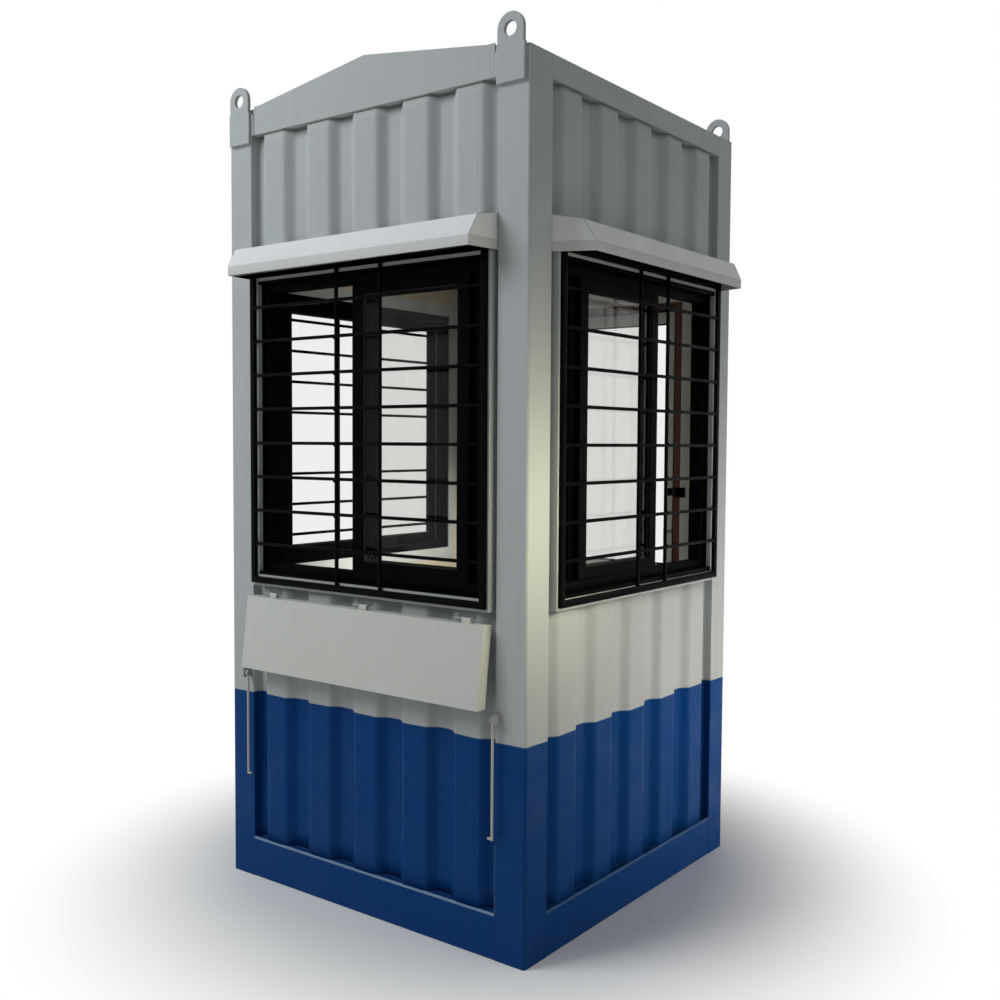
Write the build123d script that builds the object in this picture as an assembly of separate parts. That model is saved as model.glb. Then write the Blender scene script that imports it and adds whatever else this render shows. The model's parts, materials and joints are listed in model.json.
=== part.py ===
"""Security guard booth: a steel cabin with sliding windows, grilles, canopies and a fold-down ledge.

Millimetres. The origin is on the ground under the middle of the booth, +Z is up, the front faces -Y
and the right side faces +X. Each wall is drawn once in wall coordinates: u runs along the wall, and
p is how far a point stands out from the face of the corner posts (negative is inside the wall).
"""
from build123d import *
import math
import os

# Overall frame
booth_width = 1220.0
booth_depth = 1220.0
eave_height = 2513.0
ridge_rise = 87.0
roof_thickness = 3.0
wall_thickness = 65.0
base_rail_height = 130.0
top_rail_height = 68.0
rail_wall = 4.0
seam = 0.3

# Corner posts, folded from plate
post_leg = 105.0
post_plate = 4.0
post_return = 35.0

# Gable fascias
fascia_plate = 4.0
fascia_end_gap = 15.0
fascia_upstand = 3.0
fascia_end_flat = 25.0

# Corrugated outer sheet
sheet_thickness = 1.6
sheet_setback = 4.0
corrugation_pitch = 200.0
corrugation_crest = 92.0
corrugation_flank = 28.0
corrugation_depth = 25.0

# Inside
lining_thickness = 9.0
ceiling_thickness = 9.0
deck_thickness = 18.0
joist_width = 60.0
joist_height = 90.0
joist_pitch = 365.0

# Wall openings
opening_top = 1964.0
window_height = 936.0
surround_side = 33.0
surround_gap = 15.0
surround_top = 44.0
surround_bottom = 43.0
surround_projection = 16.0

# Sliding windows
frame_bar = 25.0
frame_depth = 46.0
frame_setback = 12.0
sash_stile = 42.0
sash_rail = 36.0
sash_depth = 18.0
sash_overlap = 50.0
track_margin = 4.0
track_gap = 2.0
glass_thickness = 4.0
# For each wall: does the left sash run in the outer track, and how far each sash stands from an end
# of its travel
sash_settings = {
    "front": (True, ("open", 39.7), ("shut", 0.0)),
    "right": (False, ("shut", 75.0), ("open", 100.7)),
    "left": (True, ("shut", 25.0), ("shut", 0.0)),
}

# Window grilles
grille_frame = 20.0
grille_bar = 12.0
grille_rod = 10.0
grille_inset = 6.0
grille_drop = 3.0
grille_rise = 9.0
grille_rows = 8
grille_uprights = {"front": (-95.0, 86.0), "right": (-52.0, 120.0), "left": (-93.0, 93.0)}

# Canopies
# How far the two ends of each lip stand in from the posts
canopy_end_gaps = {"front": (11.0, 18.0), "right": (59.0, 37.0), "back": (25.0, 25.0), "left": (25.0, 25.0)}
canopy_root_gap = 2.0
canopy_top = 2082.0
canopy_shoulder = 75.0
canopy_shoulder_fall = 14.0
canopy_projection = 108.0
canopy_fall = 71.0
canopy_lip = 30.0
canopy_sheet = 2.0

# Lifting lugs
lug_inset = 60.0
lug_plate = 12.0
lug_body_width = 95.0
lug_drop = 93.0
lug_shoulder_rise = 7.0
lug_hole_rise = 47.0
lug_hole_radius = 20.0
lug_eye_radius = 44.0

# Door in the back wall
door_gap = 5.0
door_jamb = 25.0
door_thickness = 35.0
door_setback = 5.0
door_stile = 40.0
door_middle_rail_height = 1010.0
door_panel_thickness = 20.0
door_hinge_standoff = 10.0
door_hinge_radius = 8.0
door_pin_radius = 4.0
door_hinge_length = 90.0
door_hinge_plate = 2.0
door_hinge_plate_width = 30.0
door_hinge_heights = (330.0, 1050.0, 1770.0)
handle_height = 1060.0
handle_length = 180.0
handle_radius = 7.0
handle_standoff = 38.0
handle_post_radius = 5.0
lock_plate_width = 36.0
lock_plate_height = 90.0
lock_plate_thickness = 3.0

# Fold-down ledge under the front window
ledge_end_gap = 15.0
ledge_top = 950.0
ledge_height = 232.0
ledge_thickness = 36.0
ledge_lean = 28.0
ledge_sheet = 2.0
ledge_clearance = 5.0
ledge_pivot_rise = 10.0
ledge_pivot_projection = 16.0
ledge_barrel_radius = 5.0
ledge_pin_radius = 2.5
ledge_hinge_half = 30.0
ledge_hinge_plate = 2.0
ledge_hinge_plate_height = 18.0
ledge_hinge_web = 7.0

# Stays that swing up to hold the ledge
stay_post_offset = 5.5
stay_pivot_height = 690.0
stay_pivot_projection = 20.0
stay_length = 340.0
stay_rod_radius = 4.0
stay_hook_radius = 3.5
stay_eye_radius = 9.0
stay_eye_length = 8.0
stay_pin_radius = 3.0
stay_pin_head_radius = 6.0
stay_pin_head_length = 2.0
stay_side_gap = 2.5
stay_bracket_plate = 6.0
stay_bracket_reach = 32.0
stay_bracket_height = 30.0
stay_hook_clearance = 6.0
pin_clearance = 0.3

# Sizes that follow from the ones above
half_width = booth_width / 2
half_depth = booth_depth / 2
roof_slope = ridge_rise / half_width
front_span = booth_width - 2 * post_leg
side_span = booth_depth - 2 * post_leg
top_rail_bottom = eave_height - top_rail_height
lug_bottom = eave_height - lug_drop
lug_shoulder = eave_height + lug_shoulder_rise
lug_hole_height = eave_height + lug_hole_rise
window_sill = opening_top - window_height
wall_spans = {"front": front_span, "right": side_span, "back": front_span, "left": side_span}
surround_half = {side: span / 2 - surround_gap for side, span in wall_spans.items()}
opening_width = {side: 2 * (half - surround_side) for side, half in surround_half.items()}
canopy_root_half = {side: span / 2 - canopy_root_gap for side, span in wall_spans.items()}
canopy_ends = {
    side: (canopy_end_gaps[side][0] - span / 2, span / 2 - canopy_end_gaps[side][1])
    for side, span in wall_spans.items()
}
outer_crests = {
    side: int((span / 2 - corrugation_crest / 2 - corrugation_flank) // corrugation_pitch)
    for side, span in wall_spans.items()
}
surround_head = opening_top + surround_top
surround_foot = window_sill - surround_bottom
ledge_width = front_span - 2 * ledge_end_gap
ledge_hinge_offset = outer_crests["front"] * corrugation_pitch
ledge_pivot_height = ledge_top + ledge_pivot_rise
stay_offset = front_span / 2 + stay_post_offset
door_clear_half = opening_width["back"] / 2 - door_jamb
door_half = door_clear_half - door_gap
door_bottom = base_rail_height + door_gap
door_top = opening_top - door_jamb - door_gap
door_hinge_u = door_half + door_gap + door_hinge_standoff
door_hinge_p = surround_projection + door_hinge_plate + door_hinge_radius
door_front = -door_setback
door_back = door_front - door_thickness
door_middle = (door_front + door_back) / 2

parts = {}


def block(u0, u1, p0, p1, z0, z1):
    """A box in wall coordinates, standing between two lengths, two depths and two heights."""
    size = (abs(u1 - u0), abs(p1 - p0), abs(z1 - z0))
    centre = ((u0 + u1) / 2, -(p0 + p1) / 2, (z0 + z1) / 2)
    return Pos(*centre) * Box(*size)


def rod(u, p, z, radius, length, along):
    """A round bar centred at a point in wall coordinates, along u, p or z."""
    turn = {"u": Rot(0, 90, 0), "p": Rot(90, 0, 0), "z": Rot(0, 0, 0)}[along]
    return Pos(u, -p, z) * turn * Cylinder(radius, length)


def on_wall(shape, side):
    """Move a shape from wall coordinates to its side of the booth."""
    distance = half_width if side in ("right", "left") else half_depth
    turn = {"front": 0, "right": 90, "back": 180, "left": -90}[side]
    return Rot(0, 0, turn) * Pos(0, -distance, 0) * shape


def roof_under(x):
    """Height of the roof sheet's underside at a distance from the middle."""
    return eave_height - roof_thickness + (half_width - abs(x)) * roof_slope


def extrude_between(face, distance):
    """Extrude a face both ways, so that it is centred on its plane."""
    return extrude(face, distance / 2, both=True)


def save(name, shape):
    parts[name] = shape


# ---------------------------------------------------------------- frame

def base_rail(side):
    """A square tube along a wall, flush with the posts' faces."""
    half = wall_spans[side] / 2
    wall = rail_wall
    outer = block(-half, half, 0, -wall_thickness, 0, base_rail_height)
    inner = block(-half, half, -wall, wall - wall_thickness, wall, base_rail_height - wall)
    return on_wall(outer - inner, side)


def base_rails():
    return Compound([base_rail(side) for side in ("front", "right", "back", "left")])


def post_blank(z1):
    """The folded section of a corner post, with its outer corner at the origin."""
    leg = post_leg
    plate = post_plate
    lip = post_return
    points = [
        (0, 0), (leg, 0), (leg, lip), (leg - plate, lip), (leg - plate, plate), (plate, plate),
        (plate, leg - plate), (lip, leg - plate), (lip, leg), (0, leg),
    ]
    section = Plane.XY * make_face(Polyline(*points, close=True))
    return extrude(section, z1)


def roof_prism():
    """Everything under the roof sheet's underside, used to cut the posts to the slope."""
    half = half_width
    edge = roof_under(half)
    outline = Polyline((-half, 0), (half, 0), (half, edge), (0, roof_under(0)), (-half, edge), close=True)
    return extrude_between(Plane.XZ * make_face(outline), booth_depth)


def corner_post(right, back):
    post = Pos(-half_width, -half_depth, 0) * post_blank(eave_height + ridge_rise)
    if right:
        post = mirror(post, Plane.YZ)
    if back:
        post = mirror(post, Plane.XZ)
    return post & roof_prism()


def top_rail():
    """One side rail under the eave; its top is cut to the slope of the roof."""
    outer_x = half_width
    inner_x = half_width - wall_thickness
    low = top_rail_bottom
    wall = rail_wall
    outer = Polyline(
        (outer_x, low), (outer_x, roof_under(outer_x)), (inner_x, roof_under(inner_x)), (inner_x, low),
        close=True
    )
    hollow = Polyline(
        (outer_x - wall, low + wall), (outer_x - wall, roof_under(outer_x - wall) - wall),
        (inner_x + wall, roof_under(inner_x + wall) - wall), (inner_x + wall, low + wall), close=True
    )
    outer_solid = extrude_between(Plane.XZ * make_face(outer), side_span)
    return outer_solid - extrude_between(Plane.XZ * make_face(hollow), side_span)


def gable():
    """The gable beam between two posts, with its fascia plate, in wall coordinates."""
    half = front_span / 2
    plate_half = half - fascia_end_gap
    flat = plate_half - fascia_end_flat
    low = top_rail_bottom
    wall = rail_wall
    crest = roof_under(0) + roof_thickness + fascia_upstand
    shoulder = roof_under(flat) + roof_thickness + fascia_upstand
    plate = Polyline(
        (-plate_half, low), (plate_half, low), (plate_half, shoulder), (flat, shoulder), (0, crest),
        (-flat, shoulder), (-plate_half, shoulder), close=True
    )
    beam = Polyline(
        (-half, low), (half, low), (half, roof_under(half)), (0, roof_under(0)), (-half, roof_under(half)),
        close=True
    )
    void = Polyline(
        (-half, low + wall), (half, low + wall), (half, roof_under(half) - wall), (0, roof_under(0) - wall),
        (-half, roof_under(half) - wall), close=True
    )
    beam_depth = wall_thickness - fascia_plate
    plate_solid = Pos(0, fascia_plate / 2, 0) * extrude_between(Plane.XZ * make_face(plate), fascia_plate)
    beam_solid = extrude_between(Plane.XZ * make_face(beam), beam_depth)
    void_solid = extrude_between(Plane.XZ * make_face(void), beam_depth - 2 * wall)
    beam_place = Pos(0, fascia_plate + beam_depth / 2, 0)
    return plate_solid + beam_place * (beam_solid - void_solid)


def roof_sheet():
    """Two slopes of plate that lie on the rails, the gables and the posts, between the fascias."""
    half = half_width
    under_edge = roof_under(half)
    under_ridge = roof_under(0)
    outline = Polyline(
        (-half, under_edge), (0, under_ridge), (half, under_edge), (half, under_edge + roof_thickness),
        (0, under_ridge + roof_thickness), (-half, under_edge + roof_thickness), close=True
    )
    return extrude_between(Plane.XZ * make_face(outline), booth_depth - 2 * fascia_plate)


# ---------------------------------------------------------------- walls

def corrugated(length, z0, z1):
    """A trapezoidal sheet with a crest on its middle and a valley beside each post."""
    step = corrugation_pitch
    crest_half = corrugation_crest / 2
    run = corrugation_flank
    outer_p = -sheet_setback
    valley_p = outer_p - corrugation_depth
    lean = math.atan2(corrugation_depth, run)
    tuck = sheet_thickness * math.tan(lean / 2)
    count = int((length / 2 - crest_half - run) // step)
    front = [(-length / 2, valley_p)]
    rear = [(-length / 2, valley_p - sheet_thickness)]
    for index in range(-count, count + 1):
        centre = index * step
        front += [
            (centre - crest_half - run, valley_p), (centre - crest_half, outer_p),
            (centre + crest_half, outer_p), (centre + crest_half + run, valley_p),
        ]
        rear += [
            (centre - crest_half - run + tuck, valley_p - sheet_thickness),
            (centre - crest_half + tuck, outer_p - sheet_thickness),
            (centre + crest_half - tuck, outer_p - sheet_thickness),
            (centre + crest_half + run - tuck, valley_p - sheet_thickness),
        ]
    front.append((length / 2, valley_p))
    rear.append((length / 2, valley_p - sheet_thickness))
    outline = [(u, -p) for u, p in front + rear[::-1]]
    section = make_face(Polyline(*outline, close=True))
    return Pos(0, 0, z0) * extrude(Plane.XY * section, z1 - z0)


def lining(side):
    """Inner boards of one wall, split round its opening."""
    inner = wall_thickness - lining_thickness
    shared = side in ("front", "back")
    half = (half_width - inner) if shared else (half_depth - wall_thickness - seam)
    ceiling = top_rail_bottom - ceiling_thickness
    hole = surround_half[side]
    foot = surround_foot if side != "back" else base_rail_height
    p0 = -inner
    p1 = -wall_thickness
    boards = [
        block(-half, half, p0, p1, surround_head + seam, ceiling),
        block(-half, -hole, p0, p1, foot, surround_head),
        block(hole, half, p0, p1, foot, surround_head),
    ]
    if side != "back":
        boards.append(block(-half, half, p0, p1, base_rail_height, foot - seam))
    return [on_wall(board, side) for board in boards]


def floor_deck():
    width = booth_width - 2 * wall_thickness
    depth = booth_depth - 2 * wall_thickness
    return Pos(0, 0, base_rail_height - deck_thickness / 2) * Box(width, depth, deck_thickness)


def floor_joists():
    width = booth_width - 2 * wall_thickness
    top = base_rail_height - deck_thickness
    tubes = []
    for index in (-1, 0, 1):
        place = Pos(0, index * joist_pitch, top - joist_height / 2)
        tube = Box(width, joist_width, joist_height)
        bore = Box(width, joist_width - 2 * rail_wall, joist_height - 2 * rail_wall)
        tubes.append(place * (tube - bore))
    return Compound(tubes)


def ceiling_board():
    inner = wall_thickness - lining_thickness
    width = booth_width - 2 * inner
    depth = booth_depth - 2 * inner
    return Pos(0, 0, top_rail_bottom - ceiling_thickness / 2) * Box(width, depth, ceiling_thickness)


# ---------------------------------------------------------------- openings

def surround(side, foot, bottom_width):
    """The frame that lines an opening, with a flat strip from each side to the post."""
    inner = opening_width[side] / 2
    outer = surround_half[side]
    top = surround_head
    p0 = surround_projection
    p1 = -wall_thickness
    sill = foot + bottom_width
    strip_p = -sheet_setback - corrugation_depth
    strip_end = wall_spans[side] / 2
    members = []
    for sign in (-1, 1):
        jamb = block(sign * inner, sign * outer, p0, p1, foot, top)
        strip = block(sign * outer, sign * strip_end, strip_p, strip_p - sheet_thickness, foot, top)
        members.append(jamb + strip)
    members.append(block(-inner + seam, inner - seam, p0, p1, opening_top, top))
    if bottom_width > 0:
        members.append(block(-inner + seam, inner - seam, p0, p1, foot, sill))
    return Compound([on_wall(member, side) for member in members])


def ring(u0, u1, p0, p1, z0, z1, stile, rail):
    """Four bars round a rectangle: full-height stiles with the rails between them."""
    return [
        block(u0, u0 + stile, p0, p1, z0, z1),
        block(u1 - stile, u1, p0, p1, z0, z1),
        block(u0 + stile + seam, u1 - stile - seam, p0, p1, z0, z0 + rail),
        block(u0 + stile + seam, u1 - stile - seam, p0, p1, z1 - rail, z1),
    ]


def sash_places(side):
    """For each sash of a window: its two ends along the wall and the front of its track."""
    left_outer, left_setting, right_setting = sash_settings[side]
    reach = opening_width[side] / 2 - frame_bar - seam
    outer_track = -(frame_setback + track_margin)
    inner_track = outer_track - sash_depth - track_gap
    left_p = outer_track if left_outer else inner_track
    right_p = inner_track if left_outer else outer_track
    half_lap = sash_overlap / 2
    left_open, right_open = [
        reach - half_lap - distance if end == "open" else distance
        for end, distance in (left_setting, right_setting)
    ]
    left = (-reach + left_open, half_lap + left_open, left_p)
    right = (-half_lap - right_open, reach - right_open, right_p)
    return [left, right]


def window(side):
    """The outer frame of a sliding window and its two sashes."""
    half = opening_width[side] / 2
    p0 = -frame_setback
    bars = ring(-half, half, p0, p0 - frame_depth, window_sill, opening_top, frame_bar, frame_bar)
    low = window_sill + frame_bar + seam
    high = opening_top - frame_bar - seam
    for u0, u1, p in sash_places(side):
        bars += ring(u0, u1, p, p - sash_depth, low, high, sash_stile, sash_rail)
    return Compound([on_wall(bar, side) for bar in bars])


def window_glass(side):
    low = window_sill + frame_bar + seam + sash_rail
    high = opening_top - frame_bar - seam - sash_rail
    panes = []
    for u0, u1, p in sash_places(side):
        outer = p - (sash_depth - glass_thickness) / 2
        panes.append(block(u0 + sash_stile, u1 - sash_stile, outer, outer - glass_thickness, low, high))
    return Compound([on_wall(pane, side) for pane in panes])


def grille(side):
    """A welded frame of flat bar with level rods and two uprights."""
    half = surround_half[side] - grille_inset
    top = surround_head - grille_drop
    foot = surround_foot + grille_rise
    p0 = surround_projection
    p1 = p0 + grille_bar
    frame = grille_frame
    slim0 = p0 + (grille_bar - grille_rod) / 2
    slim1 = slim0 + grille_rod
    body = block(-half, half, p0, p1, foot, top)
    body -= block(frame - half, half - frame, p0, p1, foot + frame, top - frame)
    for middle in grille_uprights[side]:
        body += block(middle - grille_rod / 2, middle + grille_rod / 2, slim0, slim1, foot, top)
    # The rods are spaced from the foot bar's upper edge to the middle of the top bar
    lowest = foot + frame
    pitch = (top - frame / 2 - lowest) / (grille_rows + 1)
    for row in range(1, grille_rows + 1):
        level = lowest + row * pitch
        body += block(-half, half, slim0, slim1, level - grille_rod / 2, level + grille_rod / 2)
    return on_wall(body, side)


def canopy_section(spare):
    """The canopy's section from the wall's crests to its lip, lengthened at the wall and at the foot."""
    wall = sheet_setback
    shoulder = canopy_top - canopy_shoulder_fall
    edge = canopy_top - canopy_fall
    foot = edge - canopy_lip - spare
    rise = spare * canopy_shoulder_fall / (canopy_shoulder + wall)
    outline = Polyline(
        (wall + spare, canopy_top + rise), (-canopy_shoulder, shoulder), (-canopy_projection, edge),
        (-canopy_projection, foot), (wall + spare, foot), close=True
    )
    return make_face(outline)


def canopy_plan(side, skin):
    """The canopy's plan, drawn in from its root at the wall to its lip, with its ends moved in by a skin."""
    start, end = canopy_ends[side]
    root = canopy_root_half[side] - skin
    wall = sheet_setback + skin
    lip = -canopy_projection
    points = [(-root, wall), (root, wall), (end - skin, lip), (start + skin, lip)]
    return Plane.XY * make_face(Polyline(*points, close=True))


def canopy(side):
    """A folded hood over an opening: a top, a slope, a lip and two ends that draw in towards the lip."""
    skin = canopy_sheet
    length = 2 * canopy_root_half[side]
    inside = offset(canopy_section(skin), -skin, kind=Kind.INTERSECTION)
    solid = extrude_between(Plane.YZ * canopy_section(0), length) & extrude(canopy_plan(side, 0), canopy_top)
    void = extrude_between(Plane.YZ * inside, length) & extrude(canopy_plan(side, skin), canopy_top)
    return on_wall(solid - void, side)


def lifting_lug(right, back):
    """A plate on a post's outer face with a round eye above the roof."""
    centre = half_width - lug_inset
    hole = lug_hole_height
    body = block(-lug_body_width / 2, lug_body_width / 2, 0, lug_plate, lug_bottom, lug_shoulder)
    neck = block(-lug_eye_radius, lug_eye_radius, 0, lug_plate, lug_shoulder, hole)
    eye = rod(0, lug_plate / 2, hole, lug_eye_radius, lug_plate, "p")
    bore = rod(0, lug_plate / 2, hole, lug_hole_radius, 2 * lug_plate, "p")
    lug = body + neck + eye - bore
    lug = Pos(centre, 0, 0) * lug
    if right == back:
        lug = mirror(lug, Plane.YZ)
    return on_wall(lug, "back" if back else "front")


# ---------------------------------------------------------------- door

def door_frame():
    """Jambs and head that line the doorway inside its surround."""
    half = opening_width["back"] / 2
    p0 = -door_setback
    p1 = -wall_thickness
    head = opening_top - door_jamb
    bars = [
        block(-half, -door_clear_half, p0, p1, base_rail_height, opening_top),
        block(door_clear_half, half, p0, p1, base_rail_height, opening_top),
        block(-door_clear_half + seam, door_clear_half - seam, p0, p1, head, opening_top),
    ]
    return Compound([on_wall(bar, "back") for bar in bars])


def door_leaf():
    """Stiles, rails and the lower panel of the leaf."""
    bars = ring(-door_half, door_half, door_front, door_back, door_bottom, door_top, door_stile, door_stile)
    inner = door_half - door_stile - seam
    rail_top = door_middle_rail_height
    rail_bottom = rail_top - door_stile
    bars.append(block(-inner, inner, door_front, door_back, rail_bottom, rail_top))
    panel_p = door_middle + door_panel_thickness / 2
    panel_bottom = door_bottom + door_stile + seam
    bars.append(
        block(-inner, inner, panel_p, panel_p - door_panel_thickness, panel_bottom, rail_bottom - seam)
    )
    return Compound([on_wall(bar, "back") for bar in bars])


def door_glass():
    outer = door_middle + glass_thickness / 2
    half = door_half - door_stile
    pane = block(-half, half, outer, outer - glass_thickness, door_middle_rail_height, door_top - door_stile)
    return on_wall(pane, "back")


def door_hinge_leaves():
    """Upper knuckles with the arms that carry the door, for every hinge."""
    axis_u = door_hinge_u
    axis_p = door_hinge_p
    half_web = door_hinge_radius / 2
    edge = door_half - door_gap
    solids = []
    for centre in door_hinge_heights:
        low = centre + pin_clearance
        high = centre + door_hinge_length / 2
        middle = (low + high) / 2
        barrel = rod(axis_u, axis_p, middle, door_hinge_radius, high - low, "z")
        arm = block(door_half - door_stile / 2, edge, door_front, axis_p + half_web, low, high)
        web = block(edge, axis_u, axis_p - half_web, axis_p + half_web, low, high)
        bore = rod(axis_u, axis_p, middle, door_pin_radius + pin_clearance, door_hinge_length, "z")
        solids.append(on_wall(barrel + arm + web - bore, "back"))
    return solids


def door_hinge_plates():
    """Lower knuckles, plates and pins on the surround, for every hinge."""
    axis_u = door_hinge_u
    knuckle = door_hinge_length / 2
    face = surround_projection
    opening_half = opening_width["back"] / 2
    solids = []
    for level in door_hinge_heights:
        barrel = rod(axis_u, door_hinge_p, level - knuckle / 2, door_hinge_radius, knuckle, "z")
        pin = rod(axis_u, door_hinge_p, level, door_pin_radius, door_hinge_length, "z")
        plate = block(
            opening_half, opening_half + door_hinge_plate_width, face, face + door_hinge_plate,
            level - knuckle, level + knuckle
        )
        web = block(
            axis_u, opening_half + door_hinge_radius, face, door_hinge_p, level - knuckle, level
        )
        solids.append(on_wall(barrel + pin + plate + web, "back"))
    return Compound(solids)


def door_handles():
    """A pull handle and a lock plate on each face of the door."""
    centre_u = -(door_half - door_stile / 2)
    solids = []
    for face, sign in ((door_front, 1), (door_back, -1)):
        plate_edge = face + sign * lock_plate_thickness
        reach = face + sign * handle_standoff
        half = handle_length / 2
        plate = block(
            centre_u - lock_plate_width / 2, centre_u + lock_plate_width / 2, face, plate_edge,
            handle_height - lock_plate_height - half, handle_height - half - lock_plate_thickness
        )
        grip = rod(centre_u, reach, handle_height, handle_radius, handle_length, "z")
        for end in (-1, 1):
            level = handle_height + end * (half - 2 * handle_radius)
            post = rod(centre_u, (face + reach) / 2, level, handle_post_radius, abs(reach - face), "p")
            grip += post
        solids += [on_wall(plate, "back"), on_wall(grip, "back")]
    return solids


# ---------------------------------------------------------------- ledge and stays

def ledge_hinge_centres():
    return [-ledge_hinge_offset, 0.0, ledge_hinge_offset]


def ledge():
    """A shallow folded tray, open towards the wall, that leans out from its hinges."""
    half = ledge_width / 2
    skin = ledge_sheet
    high = ledge_top
    low = ledge_top - ledge_height
    back = ledge_clearance - sheet_setback
    front = back + ledge_thickness
    lean = ledge_lean
    outer = Polyline(
        (-back, high), (-front, high), (-front - lean, low), (-back - lean, low), close=True
    )
    tray = extrude_between(Plane.YZ * make_face(outer), 2 * half)
    slope = lean / ledge_height
    face = front - skin * math.hypot(1, slope)
    near = back - skin
    inner = Polyline(
        (-near - skin * slope, high - skin), (-face - skin * slope, high - skin),
        (skin * slope - face - lean, low + skin), (skin * slope - near - lean, low + skin), close=True
    )
    tray -= extrude_between(Plane.YZ * make_face(inner), 2 * (half - skin))
    pivot_p = ledge_pivot_projection
    pivot_z = ledge_pivot_height
    length = ledge_hinge_half - pin_clearance
    for centre in ledge_hinge_centres():
        start = centre + pin_clearance
        middle = start + length / 2
        barrel = rod(middle, pivot_p, pivot_z, ledge_barrel_radius, length, "u")
        strap = block(
            start, start + length, pivot_p, pivot_p + ledge_hinge_web, high - ledge_hinge_web, pivot_z
        )
        bore = rod(middle, pivot_p, pivot_z, ledge_pin_radius + pin_clearance, 2 * length, "u")
        tray += barrel + strap
        tray -= bore
    return on_wall(tray, "front")


def ledge_hinge_plates():
    """Wall plates, fixed barrels and pins of the ledge's hinges."""
    pivot_p = ledge_pivot_projection
    pivot_z = ledge_pivot_height
    wall_p = -sheet_setback
    solids = []
    for centre in ledge_hinge_centres():
        plate = block(
            centre - ledge_hinge_half, centre + ledge_hinge_half, wall_p, wall_p + ledge_hinge_plate,
            pivot_z, pivot_z + ledge_hinge_plate_height
        )
        web = block(
            centre - ledge_hinge_half, centre, wall_p, pivot_p, pivot_z, pivot_z + ledge_barrel_radius
        )
        middle = centre - ledge_hinge_half / 2
        barrel = rod(middle, pivot_p, pivot_z, ledge_barrel_radius, ledge_hinge_half, "u")
        pin = rod(centre, pivot_p, pivot_z, ledge_pin_radius, 2 * ledge_hinge_half, "u")
        solids.append(on_wall(plate + web + barrel + pin, "front"))
    return solids


def stay(sign):
    """One stay, hanging on its pin at the right (1) or left (-1) post, with its hook turned inward."""
    p = stay_pivot_projection
    top = stay_pivot_height
    low = top - stay_length
    start = top - stay_pin_radius - pin_clearance
    eye = rod(sign * stay_offset, p, top, stay_eye_radius, stay_eye_length, "u")
    bore = rod(sign * stay_offset, p, top, stay_pin_radius + pin_clearance, 2 * stay_eye_length, "u")
    bar = rod(sign * stay_offset, p, (start + low) / 2, stay_rod_radius, start - low, "z")
    tip = ledge_width / 2 + stay_hook_clearance
    level = low + stay_rod_radius
    hook = rod(sign * (stay_offset + tip) / 2, p, level, stay_hook_radius, stay_offset - tip, "u")
    return on_wall(eye + bar - bore + hook, "front")


def stay_bracket(sign):
    """The plate and pin on a post that carry one stay."""
    p = stay_pivot_projection
    level = stay_pivot_height
    inner = stay_offset + stay_eye_length / 2 + stay_side_gap
    outer = inner + stay_bracket_plate
    half = stay_bracket_height / 2
    far = stay_offset - stay_eye_length / 2 - pin_clearance
    end = far - stay_pin_head_length
    plate = block(sign * inner, sign * outer, 0, stay_bracket_reach, level - half, level + half)
    pin = rod(sign * (inner + end) / 2, p, level, stay_pin_radius, inner - end, "u")
    head = rod(sign * (far + end) / 2, p, level, stay_pin_head_radius, stay_pin_head_length, "u")
    return on_wall(plate + pin + head, "front")


# ---------------------------------------------------------------- assembly

def build():
    sides = ("front", "right", "back", "left")
    save("base_rails", base_rails())
    save("floor_deck", floor_deck())
    save("floor_joists", floor_joists())
    for right, back in ((False, False), (True, False), (False, True), (True, True)):
        corner = ("b" if back else "f") + ("r" if right else "l")
        save("corner_post_" + corner, corner_post(right, back))
        save("lifting_lug_" + corner, lifting_lug(right, back))
    rail = top_rail()
    save("top_rails", Compound([rail, mirror(rail, Plane.YZ)]))
    save("gable_front", on_wall(gable(), "front"))
    save("gable_back", on_wall(gable(), "back"))
    save("roof_sheet", roof_sheet())
    save("ceiling_board", ceiling_board())
    save("inner_lining", Compound([board for side in sides for board in lining(side)]))
    for side in sides:
        span = wall_spans[side]
        sheets = [on_wall(corrugated(span, surround_head, top_rail_bottom), side)]
        if side != "back":
            sheets.append(on_wall(corrugated(span, base_rail_height, surround_foot), side))
        save("wall_sheet_" + side, Compound(sheets))
        save("canopy_" + side, canopy(side))
    for side in ("front", "right", "left"):
        save("window_surround_" + side, surround(side, surround_foot, surround_bottom))
        save("window_" + side, window(side))
        save("window_glass_" + side, window_glass(side))
        save("grille_" + side, grille(side))
    save("door_surround", surround("back", base_rail_height, 0))
    save("door_frame", door_frame())
    save("door_leaf", door_leaf())
    save("door_glass", door_glass())
    save("door_hinge_plates", door_hinge_plates())
    save("door_hardware", Compound(door_hinge_leaves() + door_handles()))
    save("ledge", ledge())
    save("ledge_fittings", Compound(ledge_hinge_plates() + [stay_bracket(1), stay_bracket(-1)]))
    save("stay_right", stay(1))
    save("stay_left", stay(-1))


build()
os.makedirs("parts", exist_ok=True)
for part_name, part_shape in parts.items():
    export_step(part_shape, "parts/" + part_name + ".step")
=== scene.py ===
import bpy
import bmesh
import json
import math
from mathutils import Matrix, Vector

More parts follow.
